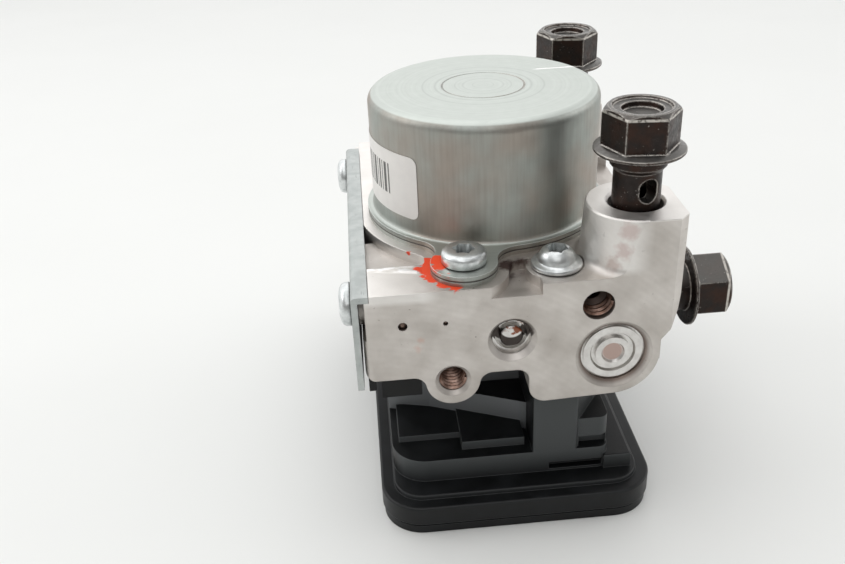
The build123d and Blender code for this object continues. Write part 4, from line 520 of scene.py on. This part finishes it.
def glass_filled_nylon(colours):
    """Glass-filled nylon, moulded: near black, satin, with a fine spark-eroded grain."""
    material, tree, shader, place = finish("Glass_filled_nylon", colours.nylon, 0.0, 0.42)
    cloud = mottle(tree, place, 5.0, 4.0, 0.35, 0.7)
    base = mix(tree, cloud, colours.nylon, linear("#16181a"))
    dust = mottle(tree, place, 0.5, 2.0, 0.74, 0.8, 0.0, 0.25)
    base = mix(tree, dust, base, linear("#5a5c5c"))
    # Painted light: the walls that look forward are painted grey, lighter towards the top, and the set-back
    # wall under the block lighter still.
    parts = split(tree, place)
    painted_front_light = product(tree, between(tree, facing(tree)[1], -0.4, -0.7), between(tree, parts[2], 6.0, 7.0))
    grey = mix(tree, between(tree, parts[2], 8.0, 12.5), linear("#2f3132"), linear("#494c4d"))
    base = mix(tree, painted_front_light, base, grey)
    painted_tower_light = product(tree, painted_front_light, between(tree, parts[1], -26.0, -24.0), between(tree, parts[2], 12.0, 13.0))
    base = mix(tree, painted_tower_light, base, linear("#747779"))
    # Painted highlight: the rounded edges are painted a lighter grey.
    edges, rounded = edge_wear_and_highlight(tree, 0.22, 0.9, 0.98)
    base = mix(tree, product(tree, edges, 0.4), base, linear("#6a6d6e"))
    # Painted shadow: the finger under the block's left side is painted black.
    corner = product(tree, between(tree, parts[2], 27.2, 27.5), between(tree, parts[0], -8.0, -10.0),
                     between(tree, parts[1], -16.0, -20.0))
    base = mix(tree, corner, base, linear("#050505"))
    feed(tree, shader, base, between(tree, cloud, 0.0, 1.0, 0.36, 0.5))
    shader.inputs["Specular IOR Level"].default_value = 0.3
    # The real grain is about 0.05 mm; 0.16 mm is the finest that still shows.
    grain = noise(tree, place, 0.16, 2.0)
    relief(tree, shader, (grain, 0.008), (noise(tree, place, 2.5), 0.01), base=rounded)
    return material


def plug_metal(colours):
    """Staked steel plugs: bright turned rings, with brown brake-fluid stain in the pump's plug."""
    material, tree, shader, place = finish("Turned_steel_plug", linear("#d8d6d3"), 1.0, 0.3)
    stain = spot(tree, place, (1.0, -36.0, 44.6), 2.0, ragged=1.2, soft=0.5)
    stain = either(tree, stain, spot(tree, place, (-1.2, -36.0, 43.7), 1.4, ragged=1.0, soft=0.5))
    across, up = ACCUMULATOR_HOLE
    dimple = spot(tree, place, (across, -35.0, up), 1.95, soft=0.2)
    button = hole_share(tree, place, PUMP_HOLE, 2.2, -37.0)
    # Painted shade: the ring round the pump plug's button, down in its bore, is painted near black.
    painted_collar_shade = product(tree, hole_share(tree, place, PUMP_HOLE, 4.0, -36.4), inverse(tree, button))
    cloud = mottle(tree, place, 1.5, 3.0, 0.35, 0.65, 0.0, 0.4)
    base = mix(tree, cloud, linear("#dddbd8"), linear("#b5b1ad"))
    base = mix(tree, dimple, base, linear("#b39d95"))
    base = mix(tree, product(tree, painted_collar_shade, 0.95), base, linear("#2c231f"))
    base = mix(tree, stain, base, linear("#8a4a2a"))
    feed(tree, shader, base, metallic=inverse(tree, stain))
    relief(tree, shader, (noise(tree, place, 0.4), 0.008))
    return material


def plain_inner(name, base, other, metallic, roughness, grain, depth):
    """A finish for a piece inside the module: two close tones and a fine relief."""
    material, tree, shader, place = finish(name, linear(base), metallic, roughness)
    cloud = between(tree, noise(tree, place, grain * 4, 4.0), 0.35, 0.65)
    feed(tree, shader, mix(tree, cloud, linear(base), linear(other)))
    relief(tree, shader, (noise(tree, place, grain), depth))
    return material


def laminations(name, base, other):
    """Stacked sheets of core steel: a line every 0.5 mm up the stack."""
    material, tree, shader, place = finish(name, linear(base), 1.0, 0.4)
    sheets = node(tree, "TexWave", {"Vector": place, "Scale": 0.31}, bands_direction="Z").outputs["Fac"]
    feed(tree, shader, mix(tree, between(tree, sheets, 0.3, 0.6), linear(other), linear(base)))
    relief(tree, shader, (sheets, 0.03))
    return material


# Modelling


def pick(piece, kind, test):
    """Selects, in edit mode, the vertices, edges or faces that a test picks."""
    bpy.ops.object.mode_set(mode="EDIT")
    bpy.ops.mesh.select_mode(type=kind)
    bpy.ops.mesh.select_all(action="DESELECT")
    bpy.ops.object.mode_set(mode="OBJECT")
    mesh = piece.data
    for element in {"VERT": mesh.vertices, "EDGE": mesh.edges, "FACE": mesh.polygons}[kind]:
        element.select = bool(test(element))
    bpy.ops.object.mode_set(mode="EDIT")


def draw_up(rings):
    """A round solid drawn up from a circle, ring by ring; a ring is a radius and a height."""
    bpy.ops.object.select_all(action="DESELECT")
    radius, height = rings[0]
    bpy.ops.mesh.primitive_circle_add(vertices=64, radius=radius, fill_type="NGON", location=(0, 0, height))
    bpy.ops.object.transform_apply(location=True)
    piece = bpy.context.active_object
    bpy.ops.object.mode_set(mode="EDIT")
    bpy.ops.mesh.select_all(action="SELECT")
    for next_radius, next_height in rings[1:]:
        bpy.ops.mesh.extrude_region_move(TRANSFORM_OT_translate={"value": (0, 0, next_height - height)})
        share = next_radius / radius
        bpy.ops.transform.resize(value=(share, share, 1), center_override=(0, 0, next_height))
        radius, height = next_radius, next_height
    bpy.ops.mesh.select_all(action="SELECT")
    bpy.ops.mesh.normals_make_consistent(inside=False)
    bpy.ops.object.mode_set(mode="OBJECT")
    return piece


def lobe_cutter(radius, depth, top):
    """The tool of a six-lobe recess: a star of six rounded lobes, drawn down."""
    above = (0, 0, top + 1)
    # Rounding takes the points of the star back to the recess's own radius.
    point, waist, rounding = radius * 1.12, 0.66, radius * 0.24
    bpy.ops.object.select_all(action="DESELECT")
    bpy.ops.mesh.primitive_circle_add(vertices=12, radius=point, fill_type="NGON", location=above)
    bpy.ops.object.transform_apply(location=True)
    cutter = bpy.context.active_object
    pick(cutter, "VERT", lambda v: v.index % 2)
    bpy.ops.transform.resize(value=(waist, waist, 1), center_override=above)
    bpy.ops.mesh.select_all(action="SELECT")
    bpy.ops.mesh.bevel(offset=rounding, segments=4, affect="VERTICES")
    bpy.ops.mesh.select_all(action="SELECT")
    bpy.ops.mesh.extrude_region_move(TRANSFORM_OT_translate={"value": (0, 0, -depth - 1)})
    bpy.ops.mesh.select_all(action="SELECT")
    bpy.ops.mesh.normals_make_consistent(inside=False)
    bpy.ops.object.mode_set(mode="OBJECT")
    return cutter


def apply(piece, kind, **settings):
    """Adds one modifier to the piece and applies it."""
    bpy.context.view_layer.objects.active = piece
    made = piece.modifiers.new(kind.title(), kind)
    for name, value in settings.items():
        setattr(made, name, value)
    bpy.ops.object.modifier_apply(modifier=made.name)


def head_size(head):
    """A screw head's radius and height, in metres."""
    return max(radius for radius, _ in head) * MM, head[-1][1] * MM


def lobed_screw(name, head, shank, sizes):
    """A screw with a six-lobe recess in its crown; its shank's length is in metres."""
    point = -shank / MM
    rings = ((POINT_RADIUS, point), (SHANK_RADIUS, point + POINT_HEIGHT), (SHANK_RADIUS, 0.0), *head)
    screw = draw_up(rings)
    screw.name = name
    top = head[-1][1]
    cutter = lobe_cutter(sizes.drive_radius / MM, sizes.drive_depth / MM, top)
    apply(screw, "BOOLEAN", operation="DIFFERENCE", object=cutter, solver="EXACT")
    bpy.data.objects.remove(cutter)
    apply(screw, "BEVEL", width=0.1, segments=2, limit_method="ANGLE", angle_limit=math.radians(38))
    return screw


def seat(piece, place, outward=(0, 0, 1), turn=0.0):
    """Puts a piece that was made in millimetres on its seat, and bakes its place into its mesh."""
    bpy.ops.object.select_all(action="DESELECT")
    bpy.context.view_layer.objects.active = piece
    piece.select_set(True)
    spin = Matrix.Rotation(turn, 4, "Z")
    stand = Vector((0, 0, 1)).rotation_difference(Vector(outward)).to_matrix().to_4x4()
    piece.matrix_world = Matrix.Translation(Vector(place)) @ stand @ spin @ Matrix.Scale(MM, 4)
    bpy.ops.object.transform_apply(location=True, rotation=True, scale=True)
    bpy.ops.object.shade_smooth_by_angle(angle=math.radians(35))


def twin(piece, name):
    """A copy with its own mesh."""
    copy = piece.copy()
    copy.data = piece.data.copy()
    copy.name = name
    bpy.context.scene.collection.objects.link(copy)
    return copy


def dress(piece, material):
    """Gives a new piece its material and the body that it rides on."""
    piece.data.materials.clear()
    piece.data.materials.append(material)
    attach(piece, BODY)


def thread(name, wall, crest, pitch, turns, start, outward):
    """The ridge of an inner thread, wound from a trapezoid, from a wall radius in to its crest."""
    middle = ((wall + crest) / 2, 0, pitch / 2)
    bpy.ops.object.select_all(action="DESELECT")
    bpy.ops.mesh.primitive_plane_add(size=1, location=middle, rotation=(math.pi / 2, 0, 0))
    bpy.ops.object.transform_apply(location=True, rotation=True)
    ridge = bpy.context.active_object
    ridge.name = name
    bpy.ops.object.mode_set(mode="EDIT")
    bpy.ops.mesh.select_all(action="SELECT")
    bpy.ops.transform.resize(value=(wall - crest, 1, pitch * 0.86), center_override=middle)
    bpy.ops.object.mode_set(mode="OBJECT")
    pick(ridge, "VERT", lambda v: v.co.x < middle[0])
    bpy.ops.transform.resize(value=(1, 1, 0.2), center_override=middle)
    bpy.ops.object.mode_set(mode="OBJECT")
    apply(ridge, "SCREW", angle=math.tau, screw_offset=pitch, iterations=turns, steps=40, render_steps=40,
          axis="Z", use_smooth_shade=True)
    pick(ridge, "FACE", lambda f: True)
    bpy.ops.mesh.remove_doubles(threshold=0.0005)
    bpy.ops.mesh.select_all(action="SELECT")
    bpy.ops.mesh.normals_make_consistent(inside=False)
    bpy.ops.object.mode_set(mode="OBJECT")
    seat(ridge, start, outward)
    return ridge


def coil(name, radius, wire, turns, height):
    """A coil of round wire that stands on its lower end, with both wire ends closed."""
    bpy.ops.object.select_all(action="DESELECT")
    bpy.ops.mesh.primitive_circle_add(vertices=10, radius=wire / 2, location=(radius, 0, wire / 2),
                                      rotation=(math.pi / 2, 0, 0))
    bpy.ops.object.transform_apply(location=True, rotation=True)
    wound = bpy.context.active_object
    wound.name = name
    steps = round(28 * turns)
    apply(wound, "SCREW", angle=math.tau * turns, screw_offset=height - wire, iterations=1, steps=steps,
          render_steps=steps, axis="Z", use_smooth_shade=True)
    pick(wound, "FACE", lambda f: True)
    bpy.ops.mesh.fill_holes(sides=0)
    bpy.ops.mesh.select_all(action="SELECT")
    bpy.ops.mesh.normals_make_consistent(inside=False)
    bpy.ops.object.mode_set(mode="OBJECT")
    return wound


# Pieces

# Name, two tones, metal share, roughness, grain and depth of the relief, then the nodes
CONTROL_UNIT_FINISHES = (
    ("Moulded_rubber", "#141414", "#1f1f1f", 0.0, 0.7, 0.3, 0.02, "ecu_seal"),
    ("Glass_epoxy_laminate", "#1d5a36", "#184c2d", 0.0, 0.45, 0.4, 0.01, "circuit_board"),
    ("Tinned_brass", "#c9c1a4", "#b3a988", 1.0, 0.28, 0.2, 0.005, "connector_pins"),
)
INNER_FINISHES = (
    ("Sintered_ferrite", "#35353a", "#28282c", 0.0, 0.6, 0.5, 0.02, "motor_magnets"),
    ("Enamelled_copper_wire", "#b3622f", "#8f4721", 0.8, 0.35, 0.5, 0.06,
     "armature_windings", "valve_coils"),
    ("Hard_drawn_copper", "#b9764a", "#9b5c36", 1.0, 0.3, 0.3, 0.01, "commutator"),
    ("Ground_hardened_steel", "#b9babd", "#9c9da1", 1.0, 0.22, 0.2, 0.004,
     "motor_shaft", "eccentric_ring", "bearing_outer_ring", "bearing_inner_ring", "bearing_balls",
     "front_pump_piston", "rear_pump_piston"),
    ("Sintered_bronze", "#a37a3f", "#80602f", 1.0, 0.5, 0.25, 0.02, "upper_bush"),
    ("Phenolic_moulding", "#4c4134", "#3d342a", 0.0, 0.5, 0.3, 0.01, "brush_holder"),
    ("Pressed_carbon", "#1c1b1b", "#2e2622", 0.2, 0.6, 0.3, 0.02, "brushes"),
    ("Anodised_aluminium_piston", "#9a9a96", "#84847f", 1.0, 0.4, 0.3, 0.01,
     "front_accumulator_piston", "rear_accumulator_piston"),
    ("Turned_stainless_valve", "#aaa9a5", "#8d8c88", 1.0, 0.28, 0.3, 0.006,
     "valve_cartridges", "front_inlet_armature", "front_outlet_armature", "rear_inlet_armature",
     "rear_outlet_armature"),
)


class MODULATOR_OT_block_finish(bpy.types.Operator):
    """Finishes the milled valve block and the plugs in its faces"""

    bl_idname = "modulator.block_finish"
    bl_label = "Valve block finish"

    def execute(self, context):
        colours = context.scene.modulator_colours
        coat_nodes(milled_aluminium(colours), "valve_block")
        coat_nodes(plug_metal(colours), "front_pump_plug", "rear_pump_plug", "front_accumulator_cap",
                   "rear_accumulator_cap")
        coat_nodes(plain_inner("Pressed_steel_balls", "#8f7d73", "#6d5c53", 1.0, 0.45, 0.3, 0.01),
                   "ball_plugs")
        return {"FINISHED"}


class MODULATOR_OT_motor_finish(bpy.types.Operator):
    """Finishes the motor can"""

    bl_idname = "modulator.motor_finish"
    bl_label = "Motor can finish"

    def execute(self, context):
        coat_nodes(drawn_steel(context.scene.modulator_colours), "motor_can")
        return {"FINISHED"}


class MODULATOR_OT_hardware_finish(bpy.types.Operator):
    """Finishes the bracket and the hollow bolts"""

    bl_idname = "modulator.hardware_finish"
    bl_label = "Bracket and bolt finish"

    def execute(self, context):
        colours = context.scene.modulator_colours
        coat_nodes(zinc_plate(colours), "mount_bracket")
        coat_nodes(black_oxide(colours), *BOLTS)
        return {"FINISHED"}


class MODULATOR_OT_control_unit_finish(bpy.types.Operator):
    """Finishes the control unit, its cover, its seal and its connector"""

    bl_idname = "modulator.control_unit_finish"
    bl_label = "Control unit finish"

    def execute(self, context):
        coat_nodes(glass_filled_nylon(context.scene.modulator_colours), "ecu_housing", "ecu_cover")
        for row in CONTROL_UNIT_FINISHES:
            coat_nodes(plain_inner(*row[:7]), *row[7:])
        return {"FINISHED"}


class MODULATOR_OT_inner_finish(bpy.types.Operator):
    """Finishes the motor, pump, accumulator and valve pieces inside"""

    bl_idname = "modulator.inner_finish"
    bl_label = "Inner finishes"

    def execute(self, context):
        coat_nodes(laminations("Core_steel_laminations", "#85858a", "#55565a"), "armature_core")
        for row in INNER_FINISHES:
            coat_nodes(plain_inner(*row[:7]), *row[7:])
        return {"FINISHED"}


class MODULATOR_OT_lobed_screws(bpy.types.Operator):
    """Models the screws of the motor, the control unit and the bracket with six-lobe recesses"""

    bl_idname = "modulator.lobed_screws"
    bl_label = "Six-lobe screws"

    def execute(self, context):
        sizes = context.scene.modulator_sizes
        zinc = bright_zinc(context.scene.modulator_colours)
        self.ear_screws(sizes, zinc)
        self.long_screws(sizes, zinc)
        self.bracket_screws(sizes, zinc)
        return {"FINISHED"}

    def ear_screws(self, sizes, zinc):
        low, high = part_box("motor_screws")
        reach, height = head_size(EAR_HEAD)
        top = high.z - height
        front = lobed_screw("ear_screw_front", EAR_HEAD, top - low.z, sizes)
        rear = twin(front, "ear_screw_rear")
        seat(front, (low.x + reach, low.y + reach, top), turn=0.3)
        seat(rear, (high.x - reach, high.y - reach, top), turn=0.8)
        dress(front, zinc)
        dress(rear, zinc)
        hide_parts("motor_screws")

    def long_screws(self, sizes, zinc):
        low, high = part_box("ecu_screws")
        reach, height = head_size(LONG_HEAD)
        top = high.z - height
        corners = frame["nodes"]["ecu_screws"].data.vertices
        middle = (low.y + high.y) / 2
        # The two shanks end at different heights.
        front_end = min(v.co.z for v in corners if v.co.y < middle)
        rear_end = min(v.co.z for v in corners if v.co.y > middle)
        front = lobed_screw("long_screw_front", LONG_HEAD, top - front_end, sizes)
        seat(front, (high.x - reach, low.y + reach, top), turn=0.1)
        dress(front, zinc)
        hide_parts("ecu_screws")
        rear = lobed_screw("long_screw_rear", LONG_HEAD, top - rear_end, sizes)
        seat(rear, (low.x + reach, high.y - reach, top), turn=0.5)
        dress(rear, zinc)

    def bracket_screws(self, sizes, zinc):
        low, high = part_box("bracket_screws")
        reach, height = head_size(BRACKET_HEAD)
        outer = low.x + height
        middle = (low.z + high.z) / 2
        front = lobed_screw("bracket_screw_front", BRACKET_HEAD, high.x - outer, sizes)
        rear = twin(front, "bracket_screw_rear")
        seat(front, (outer, low.y + reach, middle), outward=(-1, 0, 0), turn=0.2)
        seat(rear, (outer, high.y - reach, middle), outward=(-1, 0, 0), turn=0.7)
        dress(front, zinc)
        dress(rear, zinc)
        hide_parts("bracket_screws")


class MODULATOR_OT_threads(bpy.types.Operator):
    """Models the thread ridges in the fixing hole, the stepped hole and the open port"""

    bl_idname = "modulator.threads"
    bl_label = "Threads"

    def execute(self, context):
        sizes = context.scene.modulator_sizes
        # Painted shade: the ridges are a darker, browner copy of the block's aluminium, as they lie inside
        # the holes.
        material = plain_inner("Cut_aluminium_thread", "#b59a8e", "#7d6154", 1.0, 0.35, 0.3, 0.01)
        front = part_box("valve_block")[0].y
        places = {m["name"]: m for m in frame["record"]["mounts"]}
        fixing = Vector(places["front_fixing"]["pos_m"])
        port = Vector(places["open_port"]["pos_m"])
        fixing_pitch, port_pitch = sizes.fixing_pitch / MM, sizes.port_pitch / MM
        stepped = Vector((STEPPED_HOLE[0], 0, STEPPED_HOLE[1])) * MM
        # Name, wall and crest radius, pitch, turns, start and way in
        ridges = (
            ("fixing_thread", 2.62, 2.2, fixing_pitch, 9,
             (fixing.x, front + 0.7 * MM, fixing.z), (0, 1, 0)),
            ("stepped_hole_thread", 2.98, 2.6, fixing_pitch * 1.25, 3,
             (stepped.x, front + 1.0 * MM, stepped.z), (0, 1, 0)),
            ("port_thread", 5.02, 4.5, port_pitch, 8,
             (port.x + 3.4 * MM, port.y, port.z), (-1, 0, 0)),
        )
        for ridge in ridges:
            dress(thread(*ridge), material)
        return {"FINISHED"}


class MODULATOR_OT_springs(bpy.types.Operator):
    """Models the springs of the pump and the accumulators"""

    bl_idname = "modulator.springs"
    bl_label = "Coil springs"

    def execute(self, context):
        wire = context.scene.modulator_sizes.spring_wire / MM
        material = plain_inner("Spring_steel_wire", "#8f9094", "#6f7074", 1.0, 0.3, 0.2, 0.006)
        for side, outward in (("front", (0, 1, 0)), ("rear", (0, -1, 0))):
            for kind, turns in (("pump", 5), ("accumulator", 3.5)):
                node_name = side + "_" + kind + "_spring"
                low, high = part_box(node_name)
                middle = (low + high) / 2
                long = high.y - low.y
                # It stands on its plug or cap, which is at the module's outer side.
                foot = low.y if side == "front" else high.y
                seated = Vector((middle.x, foot, middle.z))
                radius = ((high.x - low.x) / MM - wire) / 2
                spring = coil(side + "_" + kind + "_coil", radius, wire, turns, long / MM)
                seat(spring, seated, outward)
                dress(spring, material)
                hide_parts(node_name)
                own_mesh(spring)
        return {"FINISHED"}


class MODULATOR_OT_label(bpy.types.Operator):
    """Models the bare label that wraps the can, with a field of plain bars"""

    bl_idname = "modulator.label"
    bl_label = "Can label"

    def execute(self, context):
        colours, sizes = context.scene.modulator_colours, context.scene.modulator_sizes
        wide, high = sizes.label_length / MM, sizes.label_height / MM
        bpy.ops.object.select_all(action="DESELECT")
        bpy.ops.mesh.primitive_plane_add(size=1, rotation=(math.pi / 2, 0, 0))
        bpy.ops.object.transform_apply(rotation=True)
        label = bpy.context.active_object
        label.name = "can_label"
        bpy.ops.object.mode_set(mode="EDIT")
        bpy.ops.mesh.select_all(action="SELECT")
        bpy.ops.transform.resize(value=(wide, 1, high), center_override=(0, 0, 0))
        bpy.ops.mesh.bevel(offset=sizes.label_corner / MM, segments=6, affect="VERTICES")
        # Bars stand 7.6 mm in from the right edge; their widths vary, as printed bars do.
        widths = (0.45, 0.9, 0.3, 0.6, 0.3, 1.1, 0.45, 0.3, 0.8, 0.45, 0.3, 0.6, 1.0, 0.3)
        bars, edge = [], wide / 2 - 7.6
        for bar in widths:
            bars.append((edge - bar, edge))
            edge -= bar + 0.55
        low_bar, top_bar = -high / 2 + 3.6, -high / 2 + 9.8
        cuts = [i * wide / 36 - wide / 2 for i in range(1, 36)]
        cuts += [x for bar in bars for x in bar]
        for x in cuts:
            bpy.ops.mesh.select_all(action="SELECT")
            bpy.ops.mesh.bisect(plane_co=(x, 0, 0), plane_no=(1, 0, 0))
        for z in (low_bar, top_bar):
            bpy.ops.mesh.select_all(action="SELECT")
            bpy.ops.mesh.bisect(plane_co=(0, 0, z), plane_no=(0, 0, 1))
        bpy.ops.object.mode_set(mode="OBJECT")
        label.data.materials.append(self.paper(colours))
        label.data.materials.append(self.ink(colours))
        for face in label.data.polygons:
            x, z = face.center.x, face.center.z
            inside = low_bar < z < top_bar and any(start < x < end for start, end in bars)
            face.material_index = 1 if inside else 0
        wrap = wide / LABEL_RADIUS
        apply(label, "SIMPLE_DEFORM", deform_method="BEND", deform_axis="Z", angle=wrap)
        pick(label, "FACE", lambda f: True)
        bpy.ops.transform.translate(value=(0, -LABEL_RADIUS, 0))
        bpy.ops.mesh.normals_make_consistent(inside=False)
        bpy.ops.object.mode_set(mode="OBJECT")
        if label.data.polygons[0].normal.dot(label.data.polygons[0].center) < 0:
            pick(label, "FACE", lambda f: True)
            bpy.ops.mesh.flip_normals()
            bpy.ops.object.mode_set(mode="OBJECT")
        apply(label, "SOLIDIFY", thickness=LABEL_THICKNESS, offset=1)
        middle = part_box("motor_can")[0].z + sizes.label_bottom + sizes.label_height / 2
        seat(label, (0, 0, middle), turn=sizes.label_edge - wrap / 2)
        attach(label, BODY)
        return {"FINISHED"}

    def paper(self, colours):
        """Coated polyester label: smooth, slightly glossy, faintly mottled."""
        material, tree, shader, place = finish("Coated_polyester_label", colours.label, 0.0, 0.38)
        cloud = mottle(tree, place, 3.0, 4.0, 0.35, 0.65, 0.0, 0.35)
        feed(tree, shader, mix(tree, cloud, colours.label, linear("#d6d3d0")))
        relief(tree, shader, (noise(tree, place, 1.2), 0.006))
        return material

    def ink(self, colours):
        """Thermal transfer ink: matt dark grey with small missed specks."""
        material, tree, shader, place = finish("Thermal_transfer_ink", colours.label_ink, 0.0, 0.5)
        missed = mottle(tree, place, 0.3, 3.0, 0.64, 0.7, 0.0, 0.7)
        feed(tree, shader, mix(tree, missed, colours.label_ink, colours.label))
        relief(tree, shader, (noise(tree, place, 0.5), 0.004))
        return material


class MODULATOR_OT_stage(bpy.types.Operator):
    """Builds the pale floor, the soft lamps and the camera"""

    bl_idname = "modulator.stage"
    bl_label = "Stage"

    def execute(self, context):
        self.floor(context.scene.modulator_colours)
        self.lamps(context.scene)
        self.camera(context.scene)
        return {"FINISHED"}

    def floor(self, colours):
        bpy.ops.object.select_all(action="DESELECT")
        bpy.ops.mesh.primitive_plane_add(size=8, location=(0, 0, 0))
        floor = bpy.context.active_object
        floor.name = "floor"
        material, tree, shader, place = finish("Matt_laminate_table", colours.floor, 0.0, 0.55)
        cloud = mottle(tree, place, 60.0, 3.0, 0.3, 0.7, 0.0, 0.25)
        feed(tree, shader, mix(tree, cloud, colours.floor, linear("#e2e3e1")))
        floor.data.materials.append(material)

    def lamps(self, scene):
        world = bpy.data.worlds.new("Soft_room")
        scene.world = world
        world.use_nodes = True
        tree = world.node_tree
        ground = tree.nodes["Background"]
        way = split(tree, node(tree, "TexCoord").outputs["Generated"])
        # The room is darkest behind the camera and brightest low on the far wall.
        near = between(tree, way[1], -0.8, 0.7)
        side = mix(tree, near, linear("#6e6c6a"), linear("#ffffff"))
        up = between(tree, way[2], 0.55, 1.0)
        tree.links.new(mix(tree, up, side, linear("#a8a8a8")), ground.inputs["Color"])
        ground.inputs["Strength"].default_value = 1.25
        # Name, place and aim in metres, size, power
        lamps = (
            ("overhead_softbox", (-0.10, 0.20, 0.80), (0, 0, 0.03), 0.9, 2.6),
            ("front_softbox", (-0.15, -0.60, 0.70), (0, 0, 0.02), 0.7, 1.5),
            ("left_softbox", (-0.80, 0.10, 0.55), (0, 0, 0.04), 0.45, 1.45),
            ("right_softbox", (0.8, 0.1, 0.45), (0, 0, 0.04), 0.4, 0.9),
        )
        for name, place, target, size, power in lamps:
            bpy.ops.object.light_add(type="AREA", location=place)
            lamp = bpy.context.active_object
            lamp.name = name
            lamp.data.shape = "SQUARE"
            lamp.data.size = size
            lamp.data.energy = power
            lamp.rotation_euler = (Vector(target) - Vector(place)).to_track_quat("-Z", "Y").to_euler()

    def camera(self, scene):
        bpy.ops.object.camera_add()
        camera = bpy.context.active_object
        camera.data.lens = CAMERA_LENS
        camera.data.sensor_width = CAMERA_SENSOR
        camera.data.clip_start = 0.005
        camera.matrix_world = Matrix.Translation(CAMERA_PLACE) @ Matrix(CAMERA_AXES).to_4x4()
        scene.camera = camera
        scene.view_settings.view_transform = "Standard"


OPERATORS = (
    MODULATOR_OT_block_finish,
    MODULATOR_OT_motor_finish,
    MODULATOR_OT_hardware_finish,
    MODULATOR_OT_control_unit_finish,
    MODULATOR_OT_inner_finish,
    MODULATOR_OT_lobed_screws,
    MODULATOR_OT_threads,
    MODULATOR_OT_springs,
    MODULATOR_OT_label,
    MODULATOR_OT_stage,
)


class MODULATOR_PT_panel(bpy.types.Panel):
    bl_label = "Brake modulator"
    bl_idname = "MODULATOR_PT_panel"
    bl_space_type = "VIEW_3D"
    bl_region_type = "UI"
    bl_category = "Modulator"

    def draw(self, context):
        for operator in OPERATORS:
            self.layout.operator(operator.bl_idname)
        for group in (context.scene.modulator_sizes, context.scene.modulator_colours):
            for name in group.__annotations__:
                self.layout.prop(group, name)


CLASSES = (ModulatorColours, ModulatorSizes, *OPERATORS, MODULATOR_PT_panel)


def register():
    for cls in CLASSES:
        bpy.utils.register_class(cls)
    bpy.types.Scene.modulator_colours = bpy.props.PointerProperty(type=ModulatorColours)
    bpy.types.Scene.modulator_sizes = bpy.props.PointerProperty(type=ModulatorSizes)


def unregister():
    del bpy.types.Scene.modulator_sizes
    del bpy.types.Scene.modulator_colours
    for cls in reversed(CLASSES):
        bpy.utils.unregister_class(cls)


def main():
    register()
    bpy.ops.modulator.block_finish()
    bpy.ops.modulator.motor_finish()
    bpy.ops.modulator.hardware_finish()
    bpy.ops.modulator.control_unit_finish()
    bpy.ops.modulator.inner_finish()
    bpy.ops.modulator.lobed_screws()
    bpy.ops.modulator.threads()
    bpy.ops.modulator.springs()
    bpy.ops.modulator.label()
    bpy.ops.modulator.stage()


if __name__ == "__main__":
    main()
